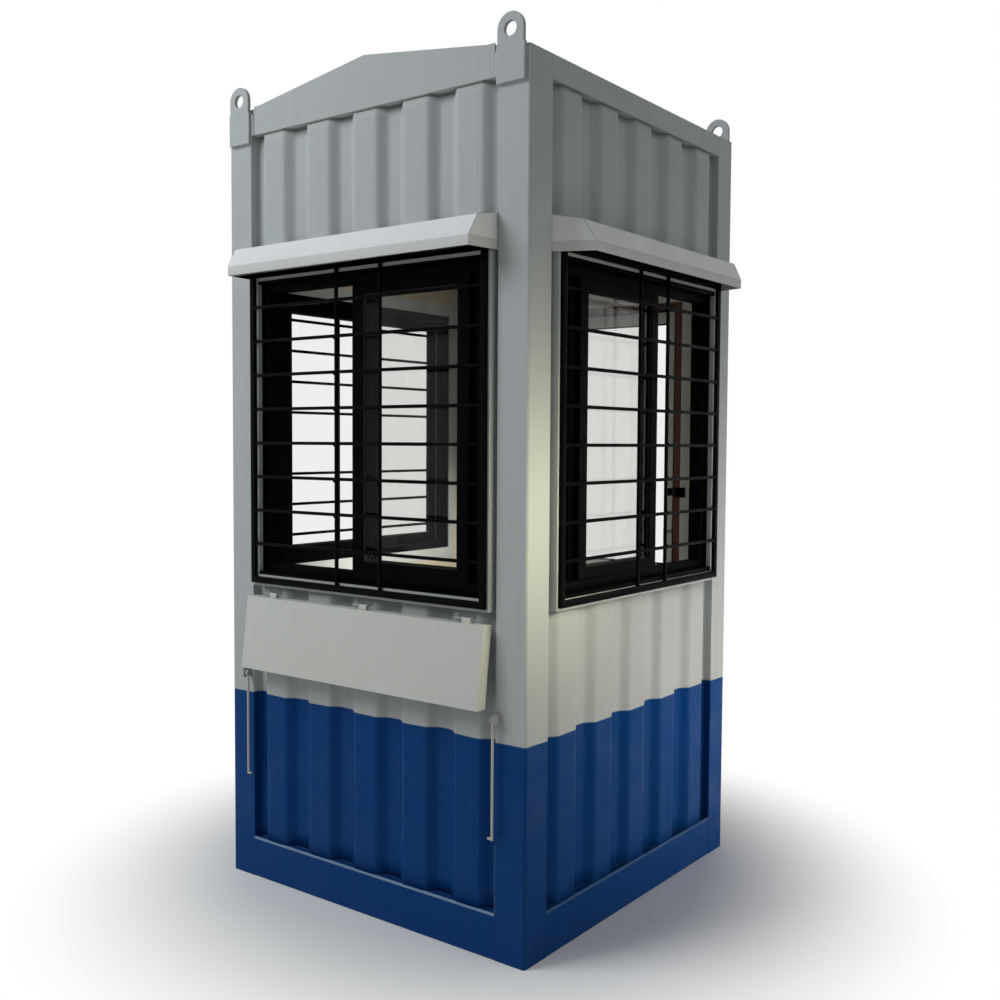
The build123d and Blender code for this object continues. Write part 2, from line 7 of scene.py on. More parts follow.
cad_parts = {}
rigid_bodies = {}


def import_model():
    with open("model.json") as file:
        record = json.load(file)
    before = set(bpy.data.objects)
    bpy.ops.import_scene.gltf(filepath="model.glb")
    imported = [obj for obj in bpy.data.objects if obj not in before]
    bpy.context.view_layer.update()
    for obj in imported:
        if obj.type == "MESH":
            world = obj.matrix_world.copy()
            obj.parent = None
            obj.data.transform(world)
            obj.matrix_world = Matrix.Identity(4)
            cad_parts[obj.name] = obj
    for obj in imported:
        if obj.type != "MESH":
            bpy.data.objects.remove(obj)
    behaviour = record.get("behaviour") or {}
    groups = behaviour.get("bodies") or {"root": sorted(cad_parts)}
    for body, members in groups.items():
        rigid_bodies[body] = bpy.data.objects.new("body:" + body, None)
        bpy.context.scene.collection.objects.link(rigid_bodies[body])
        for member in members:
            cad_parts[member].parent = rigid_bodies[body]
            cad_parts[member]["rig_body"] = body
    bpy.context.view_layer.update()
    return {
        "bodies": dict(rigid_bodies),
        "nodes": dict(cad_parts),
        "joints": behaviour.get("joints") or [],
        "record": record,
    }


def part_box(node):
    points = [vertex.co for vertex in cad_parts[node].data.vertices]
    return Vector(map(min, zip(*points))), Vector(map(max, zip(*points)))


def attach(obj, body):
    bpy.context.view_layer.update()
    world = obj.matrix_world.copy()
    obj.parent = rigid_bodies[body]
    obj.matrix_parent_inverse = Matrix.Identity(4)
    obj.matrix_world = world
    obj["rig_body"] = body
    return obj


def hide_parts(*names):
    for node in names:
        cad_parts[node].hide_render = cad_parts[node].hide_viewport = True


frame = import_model()
cad = frame["nodes"]
stageScene = bpy.context.scene
print("booth: frame loaded")

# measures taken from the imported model, in metres

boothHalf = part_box("base_rails")[1].x
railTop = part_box("base_rails")[1].z
openLow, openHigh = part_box("window_front")
trimLow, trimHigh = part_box("window_surround_front")
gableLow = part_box("gable_front")[0].z
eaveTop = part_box("roof_sheet")[0].z + 0.003  # the roof sheet is 3 mm thick
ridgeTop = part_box("roof_sheet")[1].z
bayHalf = trimHigh.x  # half the clear width between two posts
trimOut = -(trimLow.y + boothHalf)  # how far the trims stand out from the posts
grilleInset = 0.006  # how far each grille stands inside its trim
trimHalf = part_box("grille_front")[1].x + grilleInset
wallTurns = {"front": 0, "right": 90, "back": 180, "left": -90}
windowSides = ("front", "right", "left")
cornerNames = ("fl", "fr", "bl", "br")


def wallPlace(side):
    # u runs along the wall, -p points out of it, z is up
    return Matrix.Rotation(math.radians(wallTurns[side]), 4, "Z") @ Matrix.Translation((0, -boothHalf, 0))


def onWall(side, points):
    place = wallPlace(side)
    return [place @ Vector(point) for point in points]


def boxAround(points):
    # the lowest and highest corner of some points
    return [Vector([pick(values) for values in zip(*points)]) for pick in (min, max)]


def wallBox(side, node):
    # the box of a node in wall coordinates
    back = wallPlace(side).inverted()
    return boxAround([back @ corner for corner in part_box(node)])


def addObject(name, data):
    added = bpy.data.objects.new(name, data)
    stageScene.collection.objects.link(added)
    return added


# camera and lamps

cameraSettings = {
    "place": (2.3591, -3.0523, 1.4561), "yaw": 37.034, "pitch": -2.951, "roll": 0.344, "lens": 40.125,
    "sensor": 36, "far": 100,
}
lampSettings = {
    "key": {
        "place": (-2.3, -3.9, 4.6), "aim": (0, 0, 1.3), "size": 2.8, "power": 152,
        "colour": (0.95, 0.99, 1.0), "spread": 180,
    },
    "ground": {
        "place": (2.7, 0.85, 0.25), "aim": (0.61, 0.5, 0.62), "size": 0.9, "power": 6,
        "colour": (1.0, 0.96, 0.86), "spread": 60,
    },
    "right": {
        "place": (3.4, 1.0, 3.0), "aim": (0.6, 0.1, 2.2), "size": 2.2, "power": 8,
        "colour": (1.0, 1.0, 0.99), "spread": 180,
    },
    "side": {
        "place": (1.25, -0.55, 1.29), "aim": (0.60, -0.57, 1.23), "size": 0.25, "power": 2.25,
        "colour": (1.0, 0.955, 0.62), "spread": 130,
    },
    "inside": {
        "place": (0.2, -0.1, 1.85), "aim": (-0.5, 0.15, 0.6), "size": 0.25, "power": 6.2,
        "colour": (1.0, 0.97, 0.88), "spread": 70,
    },
}


def makeCamera(settings):
    yaw, pitch, roll = (math.radians(settings[key]) for key in ("yaw", "pitch", "roll"))
    ahead = Vector((-math.sin(yaw) * math.cos(pitch), math.cos(yaw) * math.cos(pitch), math.sin(pitch)))
    right = Vector((math.cos(yaw), math.sin(yaw), 0))
    up = right.cross(ahead)
    tilted = math.cos(roll) * right + math.sin(roll) * up
    lifted = math.cos(roll) * up - math.sin(roll) * right
    camera = addObject("boothCamera", bpy.data.cameras.new("boothCamera"))
    axes = Matrix((tilted, lifted, -ahead)).transposed().to_4x4()
    camera.matrix_world = Matrix.Translation(settings["place"]) @ axes
    camera.data.sensor_width = settings["sensor"]
    camera.data.lens = settings["lens"]
    camera.data.clip_end = settings["far"]
    stageScene.camera = camera


def makeLamp(name, settings):
    data = bpy.data.lights.new(name, "AREA")
    data.size = settings["size"]
    data.energy = settings["power"]
    data.color = settings["colour"]
    data.spread = math.radians(settings["spread"])
    lamp = addObject(name, data)
    turn = (Vector(settings["aim"]) - Vector(settings["place"])).to_track_quat("-Z", "Y")
    lamp.matrix_world = Matrix.Translation(settings["place"]) @ turn.to_matrix().to_4x4()
    lamp.visible_camera = lamp.visible_glossy = lamp.visible_transmission = False


makeCamera(cameraSettings)
for lampName, lampValues in lampSettings.items():
    makeLamp(lampName, lampValues)
stageScene.view_settings.view_transform = "Standard"
print("booth: camera and lamps placed")

# node helpers

number = "NodeSocketFloat"
white = (1.0, 1.0, 1.0, 1.0)


def rgba(colour, gain=1.0):
    return (*[channel * gain for channel in colour], 1.0)


class nodeTree:
    # builds the nodes of one tree; most calls give back a node's first output

    def __init__(self, tree):
        self.tree = tree

    def put(self, kind, inputs=None, **settings):
        node = self.tree.nodes.new(kind)
        for key, value in settings.items():
            setattr(node, key, value)
        self.fill(node.inputs, inputs or {})
        return node

    def fill(self, sockets, inputs):
        for key, value in inputs.items():
            if isinstance(value, bpy.types.NodeSocket):
                self.tree.links.new(value, sockets[key])
            else:
                sockets[key].default_value = value

    def shader(self, kind, inputs=None, output=0, **settings):
        return self.put("ShaderNode" + kind, inputs, **settings).outputs[output]

    def geometry(self, kind, inputs=None, output=0, **settings):
        return self.put("GeometryNode" + kind, inputs, **settings).outputs[output]

    def calc(self, operation, *values, clamp=False):
        return self.shader("Math", dict(enumerate(values)), operation=operation, use_clamp=clamp)

    def times(self, first, second, clamp=False):
        return self.calc("MULTIPLY", first, second, clamp=clamp)

    def minus(self, first, second):
        return self.calc("SUBTRACT", first, second)

    def timesPlus(self, first, second, third, clamp=False):
        return self.calc("MULTIPLY_ADD", first, second, third, clamp=clamp)

    def mix(self, factor, first, second):
        return self.shader("Mix", {0: factor, 6: first, 7: second}, 2, data_type="RGBA")

    def ramp(self, value, low, high, toLow=0.0, toHigh=1.0):
        limits = {0: value, 1: low, 2: high, 3: toLow, 4: toHigh}
        return self.shader("MapRange", limits, interpolation_type="SMOOTHSTEP")

    def noise(self, where, scale, detail=2.0, stretch=None, rough=0.5, output=0):
        if stretch:
            where = self.shader("Mapping", {"Vector": where, "Scale": stretch})
        inputs = {"Vector": where, "Scale": scale, "Detail": detail, "Roughness": rough}
        return self.shader("TexNoise", inputs, output)

    def spot(self):
        return self.shader("TexCoord", output="Object")

    def level(self, where):
        return self.shader("SeparateXYZ", {0: where}, 2)

    def use(self, group, **inputs):
        return self.put("ShaderNodeGroup", inputs, node_tree=group).outputs

    def give(self, outputs):
        self.fill(self.tree.nodes["Group Output"].inputs, outputs)
        return self.tree


def newGroup(name, inputs, outputs, kind="ShaderNodeTree"):
    tree = bpy.data.node_groups.new(name, kind)
    for label, value in inputs.items():
        socket = value if isinstance(value, str) else number
        if isinstance(value, tuple):
            socket, value = value
        item = tree.interface.new_socket(name=label, in_out="INPUT", socket_type=socket)
        if not isinstance(value, str):
            item.default_value = value
    for label, socket in outputs.items():
        tree.interface.new_socket(name=label, in_out="OUTPUT", socket_type=socket)
    given = tree.nodes.new("NodeGroupInput").outputs
    tree.nodes.new("NodeGroupOutput")
    return nodeTree(tree), given


# shared surface effects

def makeEnamelGroup():
    # soft mottling of a sprayed coat, faint vertical runs and orange peel
    inputs = {"Mottle": 0.06, "Runs": 0.04, "Peel Scale": 260.0}
    t, given = newGroup("sprayedEnamel", inputs, dict.fromkeys(("Tone", "Height", "Dull"), number))
    where = t.spot()
    patch = t.minus(t.noise(where, 2.3, 4.0), 0.5)
    run = t.minus(t.noise(where, 1.0, 3.0, (26.0, 26.0, 1.1)), 0.5)
    tone = t.timesPlus(run, given["Runs"], t.timesPlus(patch, given["Mottle"], 1.0))
    peel = t.noise(where, given["Peel Scale"], 1.0)
    height = t.timesPlus(t.noise(where, 34.0), 0.8, t.times(peel, 0.2))
    return t.give({"Tone": tone, "Height": height, "Dull": t.noise(where, 9.0, 5.0, rough=0.65)})


def makeEdgeGroup():
    # 1 where a sharp edge has lost its paint
    t, given = newGroup("edgeRub", {"Radius": 0.003, "Amount": 0.5, "Scale": 30.0}, {"Mask": number})
    rounded = t.shader("Bevel", {"Radius": given["Radius"]}, samples=4)
    flat = t.shader("NewGeometry", output="Normal")
    edge = t.ramp(t.shader("VectorMath", {0: rounded, 1: flat}, "Value", operation="DOT_PRODUCT"), 0.995, 0.9)
    limit = t.minus(0.82, t.times(given["Amount"], 0.4))
    chips = t.ramp(t.minus(t.noise(t.spot(), given["Scale"], 6.0), limit), 0.0, 0.05)
    return t.give({"Mask": t.times(edge, chips, clamp=True)})


def makeDustGroup():
    # dust thrown up from the ground, run-off streaks, and darkening in corners and hollows from occlusion,
    # part dirt held there and part painted shade
    outputs = dict.fromkeys(("Dust", "Streaks", "Hollows"), number)
    t, given = newGroup("siteDust", {"Top": 1.0, "Reach": 0.05}, outputs)
    where = t.spot()
    cloud = t.minus(t.noise(where, 3.1, 6.0, rough=0.6), 0.5)
    share = t.timesPlus(cloud, 0.9, t.calc("DIVIDE", t.level(where), given["Top"]))
    streak = t.noise(where, 1.0, 4.0, (38.0, 38.0, 0.7), 0.6)
    nookDirtAndShade = t.minus(1.0, t.shader("AmbientOcclusion", {"Distance": given["Reach"]}, "AO", samples=4))
    nookDirtAndShade = t.times(nookDirtAndShade, t.ramp(t.noise(where, 12.0, 5.0), 0.3, 0.7, 0.45, 1.0))
    return t.give({
        "Dust": t.ramp(share, 1.0, 0.0), "Streaks": t.ramp(streak, 0.56, 0.76),
        "Hollows": t.ramp(nookDirtAndShade, 0.12, 0.75),
    })


def makeLineGroup():
    # 1 below the hand-masked line between the two paints; on the canopy it is the fold above the lip, which
    # is painted darker as painted shade
    inputs = {"Height": 0.6, "Waver": 0.008, "Bleed": 0.0015}
    t, given = newGroup("paintAndShadeLine", inputs, {"Mask": number, "Ridge": number})
    where = t.spot()
    slow = t.minus(t.noise(where, 4.5, 1.0), 0.5)
    drift = t.timesPlus(t.minus(t.noise(where, 70.0, 3.0), 0.5), 0.25, slow)
    level = t.timesPlus(drift, given["Waver"], t.level(where))
    over = t.calc("DIVIDE", t.minus(level, given["Height"]), given["Bleed"])
    return t.give({"Mask": t.ramp(over, 1.0, -1.0), "Ridge": t.ramp(t.calc("ABSOLUTE", over), 3.0, 0.0)})


def makeStrokeGroup():
    # fine drawn lines along one direction, for metal and board
    inputs = {"Across": ("NodeSocketVector", (1.0, 1.0, 0.05)), "Scale": 300.0}
    t, given = newGroup("drawnLines", inputs, {"Lines": number})
    return t.give({"Lines": t.noise(t.spot(), given["Scale"], 3.0, given["Across"])})


enamelGroup = makeEnamelGroup()
edgeGroup = makeEdgeGroup()
dustGroup = makeDustGroup()
lineGroup = makeLineGroup()
strokeGroup = makeStrokeGroup()
print("booth: surface groups built")

# materials

enamelDefaults = {
    "below": None, "lineHeight": 0.622, "waver": 0.009, "roughness": 0.40, "specular": 0.07, "mottle": 0.10,
    "runs": 0.06, "bump": 0.12, "dust": 0.35, "dustColour": (0.36, 0.31, 0.24), "dustTop": 1.05,
    "streaks": 0.10, "corners": 0.25, "cornerReach": 0.045, "wear": 0.25, "wearColour": (0.16, 0.12, 0.10),
    # this dark colour tints the run-off streaks as dirt, and the corners as dirt and painted shade
    "grimeAndShade": (0.075, 0.068, 0.058), "dirtBelow": 0.03, "grimeAndShadeBelow": 0.3,
}


def newMaterial(name):
    material = bpy.data.materials.new(name)
    material.use_nodes = True
    return material, nodeTree(material.node_tree)


def closeMaterial(t, inputs, strength, distance, height):
    # sets the material's own shader, with a bump from a height
    bump = t.shader("Bump", {"Strength": strength, "Distance": distance, "Height": height})
    t.fill(t.tree.nodes["Principled BSDF"].inputs, {**inputs, "Normal": bump})


def makeEnamel(name, **changes):
    values = {**enamelDefaults, **changes}
    material, t = newMaterial(name)
    coat = t.use(enamelGroup, Mottle=values["mottle"], Runs=values["runs"])
    site = t.use(dustGroup, Top=values["dustTop"], Reach=values["cornerReach"])
    rubAndHighlight = t.use(edgeGroup, Radius=0.004, Amount=values["wear"], Scale=42.0)["Mask"]
    colour, height = values["above"], coat["Height"]
    dust = t.times(site["Dust"], values["dust"])
    # the hollows share darkens corners and valleys with the dark colour: part dirt, part painted shade
    runOff, nookDirtAndShade = t.times(site["Streaks"], values["streaks"]), t.times(site["Hollows"], values["corners"])
    if values["below"]:
        line = t.use(lineGroup, Height=values["lineHeight"], Waver=values["waver"])
        colour = t.mix(line["Mask"], rgba(values["above"]), rgba(values["below"]))
        height = t.timesPlus(line["Ridge"], 0.5, height)
        dust = t.times(dust, t.ramp(line["Mask"], 0.0, 1.0, 1.0, values["dirtBelow"]))
        kept = t.ramp(line["Mask"], 0.0, 1.0, 1.0, values["grimeAndShadeBelow"])
        runOff, nookDirtAndShade = t.times(runOff, kept), t.times(nookDirtAndShade, kept)
    shade = t.shader("VectorMath", {0: colour, 3: coat["Tone"]}, operation="SCALE")
    for share, over in ((dust, "dustColour"), (runOff, "grimeAndShade"), (nookDirtAndShade, "grimeAndShade"), (rubAndHighlight, "wearColour")):
        shade = t.mix(share, shade, rgba(values[over]))
    rough = t.ramp(coat["Dull"], 0.3, 0.7, values["roughness"] - 0.08, values["roughness"] + 0.16)
    rough = t.timesPlus(rubAndHighlight, 0.3, t.timesPlus(dust, 0.7, rough), clamp=True)
    inputs = {"Base Color": shade, "Roughness": rough, "Specular IOR Level": values["specular"]}
    closeMaterial(t, inputs, values["bump"], 0.0012, t.timesPlus(rubAndHighlight, -0.6, height))
    return material


def makeMetal(name, base, roughness, rust):
    material, t = newMaterial(name)
    lines = t.use(strokeGroup, Across=(1.0, 1.0, 0.05), Scale=420.0)["Lines"]
    bloom = t.ramp(t.noise(t.spot(), 55.0, 6.0, rough=0.65), 0.58, 0.78)
    nooks = t.use(dustGroup, Top=0.4, Reach=0.012)["Hollows"]
    stain = t.times(t.calc("MAXIMUM", bloom, nooks), rust)
    shade = t.mix(lines, rgba(base, 0.82), rgba(base, 1.12))
    closeMaterial(t, {
        "Base Color": t.mix(stain, shade, rgba((0.10, 0.07, 0.05))),
        "Metallic": t.minus(1.0, stain),
        "Roughness": t.ramp(lines, 0.3, 0.7, roughness - 0.08, roughness + 0.12),
    }, 0.08, 0.0005, lines)
    return material


def makeCoatedAluminium(name, base, roughness, specular, dust):
    material, t = newMaterial(name)
    where = t.spot()
    cloud = t.noise(where, 7.0, 5.0)
    powder = t.times(t.use(dustGroup, Top=1.6, Reach=0.02)["Dust"], dust)
    rubAndHighlight = t.use(edgeGroup, Radius=0.002, Amount=0.12, Scale=60.0)["Mask"]
    shade = t.mix(powder, t.mix(cloud, rgba(base, 0.7), rgba(base, 1.5)), rgba((0.20, 0.17, 0.14)))
    closeMaterial(t, {
        "Base Color": t.mix(rubAndHighlight, shade, rgba((0.12, 0.12, 0.12))), "Specular IOR Level": specular,
        "Roughness": t.ramp(cloud, 0.3, 0.7, roughness - 0.05, roughness + 0.12),
    }, 0.10, 0.0003, t.noise(where, 900.0))
    return material


def makeGlass(name, tint, film, rough):
    material, t = newMaterial(name)
    where = t.spot()
    smear = t.ramp(t.noise(where, 6.0, 6.0, rough=0.7), 0.45, 0.8)
    smear = t.times(smear, t.ramp(t.noise(where, 14.0, 3.0, (1.0, 1.0, 0.25)), 0.5, 0.75))
    closeMaterial(t, {
        "Base Color": t.mix(smear, rgba(tint), rgba(film)), "Transmission Weight": 1.0, "IOR": 1.25,
        "Roughness": t.ramp(smear, 0.0, 1.0, rough, rough + 0.05), "Specular Tint": rgba((0.1, 0.1, 0.1)),
    }, 0.02, 0.002, t.noise(where, 5.0, 1.0))
    return material


def makeBoard(name, base, streak, across, scale, roughness):
    # laminated board with a printed grain, darkened in its joints and corners by dust and by painted shade
    material, t = newMaterial(name)
    grain = t.use(strokeGroup, Across=across, Scale=scale)["Lines"]
    cloud = t.ramp(t.noise(t.spot(), 3.0, 4.0), 0.35, 0.75, 0.0, 0.35)
    nookDirtAndShade = t.times(t.use(dustGroup, Top=0.9, Reach=0.05)["Hollows"], 0.5)
    shade = t.mix(cloud, t.mix(t.ramp(grain, 0.35, 0.7), rgba(base), rgba(streak)), rgba(base, 0.82))
    closeMaterial(t, {
        "Base Color": t.mix(nookDirtAndShade, shade, rgba((0.10, 0.085, 0.07))), "Specular IOR Level": 0.3,
        "Roughness": t.ramp(grain, 0.2, 0.8, roughness, roughness + 0.15),
    }, 0.08, 0.0004, grain)
    return material


def makeVinyl(name, base, chip):
    # flecked sheet flooring with scuffs
    material, t = newMaterial(name)
    where = t.spot()
    cells = t.shader("TexVoronoi", {"Vector": where, "Scale": 240.0}, "Color")
    fleck = t.ramp(t.shader("SeparateXYZ", {0: cells}), 0.78, 0.86)
    scuff = t.ramp(t.noise(where, 4.0, 7.0, (1.0, 3.0, 1.0), 0.7), 0.5, 0.72)
    shade = t.mix(t.times(scuff, 0.45), t.mix(fleck, rgba(base), rgba(chip)), rgba((0.36, 0.31, 0.25)))
    roughness = t.ramp(scuff, 0.0, 1.0, 0.42, 0.75)
    closeMaterial(t, {"Base Color": shade, "Roughness": roughness}, 0.12, 0.0005, fleck)
    return material


def makeRubber(name, base, roughness):
    material, t = newMaterial(name)
    where = t.spot()
    pores = t.noise(where, 700.0)
    chalk = t.ramp(t.noise(where, 20.0, 5.0), 0.5, 0.8, 0.0, 0.35)
    closeMaterial(t, {
        "Base Color": t.mix(chalk, rgba(base), rgba(base, 2.2)), "Specular IOR Level": 0.2,
        "Roughness": t.ramp(pores, 0.3, 0.7, roughness - 0.08, roughness + 0.08),
    }, 0.15, 0.0002, pores)
    return material


lightPaint = (0.46, 0.485, 0.485)
bluePaint = (0.0004, 0.0425, 0.178)
paints = {
    "wall_paint": makeEnamel("boothTwoTone", above=lightPaint, below=bluePaint, corners=0.12),
    "base_paint": makeEnamel("railBlue", above=bluePaint, dust=0.01, dustTop=0.3, wear=0.35, corners=0.1),
    "roof_paint": makeEnamel(
        "roofGrey", above=(0.42, 0.44, 0.44), roughness=0.55, dust=0.0, streaks=0.16, mottle=0.3
    ),
    # the canopy's lip below its fold, at 2.0095 m, is painted a darker grey than its slope: painted shade
    "canopy_paint": makeEnamel(
        "canopyWhite", above=(0.80, 0.805, 0.81), below=(0.62, 0.62, 0.61), lineHeight=2.0095, waver=0.002,
        dust=0.0, streaks=0.04, corners=0.3
    ),
    "door_paint": makeEnamel("doorLight", above=(0.50, 0.515, 0.50), dust=0.2, wear=0.3),
    "door_frame_paint": makeEnamel(
        "redOxide", above=(0.105, 0.04, 0.027), roughness=0.55, specular=0.2, dust=0.12
    ),
    "joist_steel": makeEnamel("joistBlue", above=(0.02, 0.06, 0.15), dust=0.5, corners=0.7),
    "stay_steel": makeEnamel("stayPaint", above=(0.52, 0.51, 0.47), bump=0.2, dust=0.12, wear=0.6, runs=0.2),
    "hinge_steel": makeEnamel("hingePaint", above=(0.34, 0.35, 0.345), dust=0.1, wear=0.5, cornerReach=0.01),
    "grille_paint": makeEnamel(
        "grilleBlack", above=(0.0025, 0.0025, 0.0028), roughness=0.5, specular=0.025, dust=0.0,
        dustColour=(0.10, 0.09, 0.08), streaks=0.0, corners=0.0, wear=0.12, wearColour=(0.10, 0.055, 0.035),
        bump=0.3
    ),
    "sash_aluminium": makeCoatedAluminium("blackSash", (0.0022, 0.0021, 0.0024), 0.42, 0.015, 0.0),
    "window_glass": makeGlass("tintedFloat", (0.865, 0.872, 0.858), (0.72, 0.72, 0.68), 0.012),
    "lining_board": makeBoard(
        "creamLaminate", (0.60, 0.52, 0.41), (0.50, 0.42, 0.32), (1.0, 1.0, 0.03), 90.0, 0.38
    ),
    "ceiling_paint": makeBoard(
        "paleCeiling", (0.70, 0.68, 0.62), (0.66, 0.63, 0.56), (1.0, 0.06, 1.0), 70.0, 0.5
    ),
    "deck_vinyl": makeVinyl("deckVinyl", (0.13, 0.115, 0.10), (0.30, 0.27, 0.23)),
    "bright_steel": makeMetal("zincSteel", (0.56, 0.55, 0.53), 0.32, 0.18),
    # dark seam colour: grime, and painted shade under the gable
    "seam_dark": makeEnamel("seamGrimeAndShade", above=(0.25, 0.24, 0.22), bump=0.3, dust=0.2),
    "seam": makeEnamel("seamPaint", above=(0.50, 0.52, 0.515), below=(0.008, 0.05, 0.17), bump=0.3, dust=0.2),
    # pale blues for the rail and post edge beads: worn paint and painted highlight
    "rubbed_highlight": makeEnamel("rubbedBlueHighlight", above=(0.17, 0.28, 0.44), mottle=0.5, runs=0.3, dust=0.1, bump=0.3),
    "rubbed_highlight_less": makeEnamel("rubbedBlueHighlightLess", above=(0.022, 0.085, 0.22), mottle=0.4, dust=0.1, bump=0.3),
    # the ledge is the wall paint made lighter to make up for light it lacks: painted light
    "ledge_painted_bright": makeEnamel("ledgePaintedBright", above=(0.62, 0.622, 0.58), dust=0.15, runs=0.02, streaks=0.02),
    "rubber": makeRubber("blackGasket", (0.012, 0.012, 0.012), 0.7),
}
print("booth: materials built")


# floor and background

floorSettings = {
    "size": 60.0, "colour": (0.90, 0.90, 0.90), "rough": 0.9, "fadeFrom": 0.7, "fadeTo": 1.6, "under": 0.0005,
}
worldSettings = {"light": (0.20, 0.207, 0.215), "strength": 1.0}


def whiteRays(t):
    path = t.put("ShaderNodeLightPath").outputs
    seen = t.calc("MAXIMUM", path["Is Camera Ray"], path["Is Glossy Ray"])
    return t.calc("MAXIMUM", seen, path["Is Transmission Ray"])


def makeFloor(settings):
    half = settings["size"] / 2
    mesh = bpy.data.meshes.new("studioFloor")
    corners = [(-half, -half, 0), (half, -half, 0), (half, half, 0), (-half, half, 0)]
    mesh.from_pydata(corners, [], [(0, 1, 2, 3)])
    floor = addObject("studioFloor", mesh)
    material, t = newMaterial("studioFloor")
    away = t.shader("VectorMath", {0: t.spot()}, "Value", operation="LENGTH")
    shown = t.times(t.ramp(away, settings["fadeFrom"], settings["fadeTo"]), whiteRays(t))
    surface = t.tree.nodes["Principled BSDF"]
    t.fill(surface.inputs, {
        "Base Color": rgba(settings["colour"]), "Roughness": settings["rough"], "Specular IOR Level": 0.0,
    })
    plain = t.shader("Emission", {"Color": white, "Strength": 1.0})
    mixed = t.shader("MixShader", {0: shown, 1: surface.outputs[0], 2: plain})
    t.fill(t.tree.nodes["Material Output"].inputs, {"Surface": mixed})
    mesh.materials.append(material)
    floor.location.z = -settings["under"]


def makeWorld(settings):
    world = bpy.data.worlds.new("studioWorld")
    stageScene.world = world
    world.use_nodes = True
    t = nodeTree(world.node_tree)
    light = t.tree.nodes["Background"]
    t.fill(light.inputs, {"Color": rgba(settings["light"]), "Strength": settings["strength"]})
    plain = t.shader("Background", {"Color": white, "Strength": 1.0})
    mixed = t.shader("MixShader", {0: whiteRays(t), 1: light.outputs[0], 2: plain})
    t.fill(t.tree.nodes["World Output"].inputs, {"Surface": mixed})


makeFloor(floorSettings)
makeWorld(worldSettings)
print("booth: floor and background made")


# piece helpers

def addPiece(name, mesh, body, slotName, stands=(), paint=None, smooth=40):
    mesh.name = name
    mesh.materials.clear()
    mesh.materials.append(paints[paint or slotName])
    mesh.shade_smooth()
    mesh.set_sharp_from_angle(angle=math.radians(smooth))
    piece = addObject(name, mesh)
    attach(piece, body)
    if stands:
        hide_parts(*stands)
    return piece


def plainMesh(bm, name):
    mesh = bpy.data.meshes.new(name)
    bm.to_mesh(mesh)
    bm.free()
    return mesh


def meshFrom(bm, name, place=None):
    bmesh.ops.remove_doubles(bm, verts=bm.verts, dist=1e-6)
    bmesh.ops.recalc_face_normals(bm, faces=bm.faces)
    mesh = plainMesh(bm, name)
    if place is not None:
        mesh.transform(place)
    return mesh


def faceReach(face, edge):
    # how far a face runs back from one of its edges
    start = edge.verts[0].co
    along = (edge.verts[1].co - start).normalized()
    return max(((vert.co - start) - along * (vert.co - start).dot(along)).length for vert in face.verts)


def roundEdges(bm, offset, segments, wanted):
    # bevels the sharp edges that pass the test and whose faces are wide enough
    chosen = []
    for edge in bm.edges:
        if not edge.is_manifold or edge.calc_face_angle() < math.radians(35) or not wanted(edge):
            continue
        if min(faceReach(face, edge) for face in edge.link_faces) > 2.3 * offset:
            chosen.append(edge)
    bmesh.ops.bevel(
        bm, geom=chosen, offset=offset, offset_type="OFFSET", segments=segments, profile=0.5,
        affect="EDGES", clamp_overlap=True
    )


def isOuterCorner(edge):
    # the booth's own upright corner
    return all(min(abs(vert.co.x), abs(vert.co.y)) > boothHalf - 0.001 for vert in edge.verts)


def softened(node, offset, segments=3, shortest=0.0, corner=0.0):
    # a merged copy of a CAD solid with its edges rounded, the booth's corner more than the others
    bm = bmesh.new()
    bm.from_mesh(cad[node].data)
    bmesh.ops.remove_doubles(bm, verts=bm.verts, dist=1e-5)
    bmesh.ops.dissolve_limit(bm, angle_limit=math.radians(1), verts=bm.verts, edges=bm.edges)
    if corner:
        roundEdges(bm, corner, 6, isOuterCorner)
    roundEdges(bm, offset, segments, lambda edge: edge.calc_length() > shortest)
    return plainMesh(bm, node)


def softPiece(name, node, slotName, offset, paint=None, **choices):
    mesh = softened(node, offset, **choices)
    piece = addPiece(name, mesh, cad[node]["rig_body"], slotName, (node,), paint)
    piece.modifiers.new("evenNormals", "WEIGHTED_NORMAL").keep_sharp = True


def mitredRing(bm, u0, u1, z0, z1, outline):
    # sweeps an outline of (inset, out) pairs round a rectangle on a wall
    rows = []
    for inset, out in outline:
        left, right, foot, top = u0 + inset, u1 - inset, z0 + inset, z1 - inset
        corners = ((left, foot), (right, foot), (right, top), (left, top))
        rows.append([bm.verts.new((u, -out, z)) for u, z in corners])
    for row, following in zip(rows, rows[1:] + rows[:1]):
        for corner in range(4):
            nearby = (corner + 1) % 4
            bm.faces.new((row[corner], row[nearby], following[nearby], following[corner]))


def roundedBar(bm, low, high, radius):
    # a bar with softened edges between two corners, ends included
    made = bmesh.ops.create_cube(bm, size=1.0)["verts"]
    for vert in made:
        vert.co = Vector([(b + a) / 2 + v * (b - a) for a, b, v in zip(low, high, vert.co)])
    edges = list(dict.fromkeys(edge for vert in made for edge in vert.link_edges))
    bmesh.ops.bevel(
        bm, geom=edges, offset=radius, segments=2, profile=0.5, affect="EDGES", clamp_overlap=True
    )


def turnedForm(bm, profile, place, steps=16):
    # revolves (radius, height) pairs round the local Z of a place
    rings = []
    for radius, level in profile:
        turns = [2 * math.pi * index / steps for index in range(steps if radius > 1e-6 else 1)]
        spots = [Vector((radius * math.cos(turn), radius * math.sin(turn), level)) for turn in turns]
        rings.append([bm.verts.new(place @ spot) for spot in spots])
    for lower, upper in zip(rings, rings[1:]):
        for index in range(steps):
            following = (index + 1) % steps
            ends = [lower[turn % len(lower)] for turn in (index, following)]
            ends += [upper[turn % len(upper)] for turn in (following, index)]
            bm.faces.new(list(dict.fromkeys(ends)))


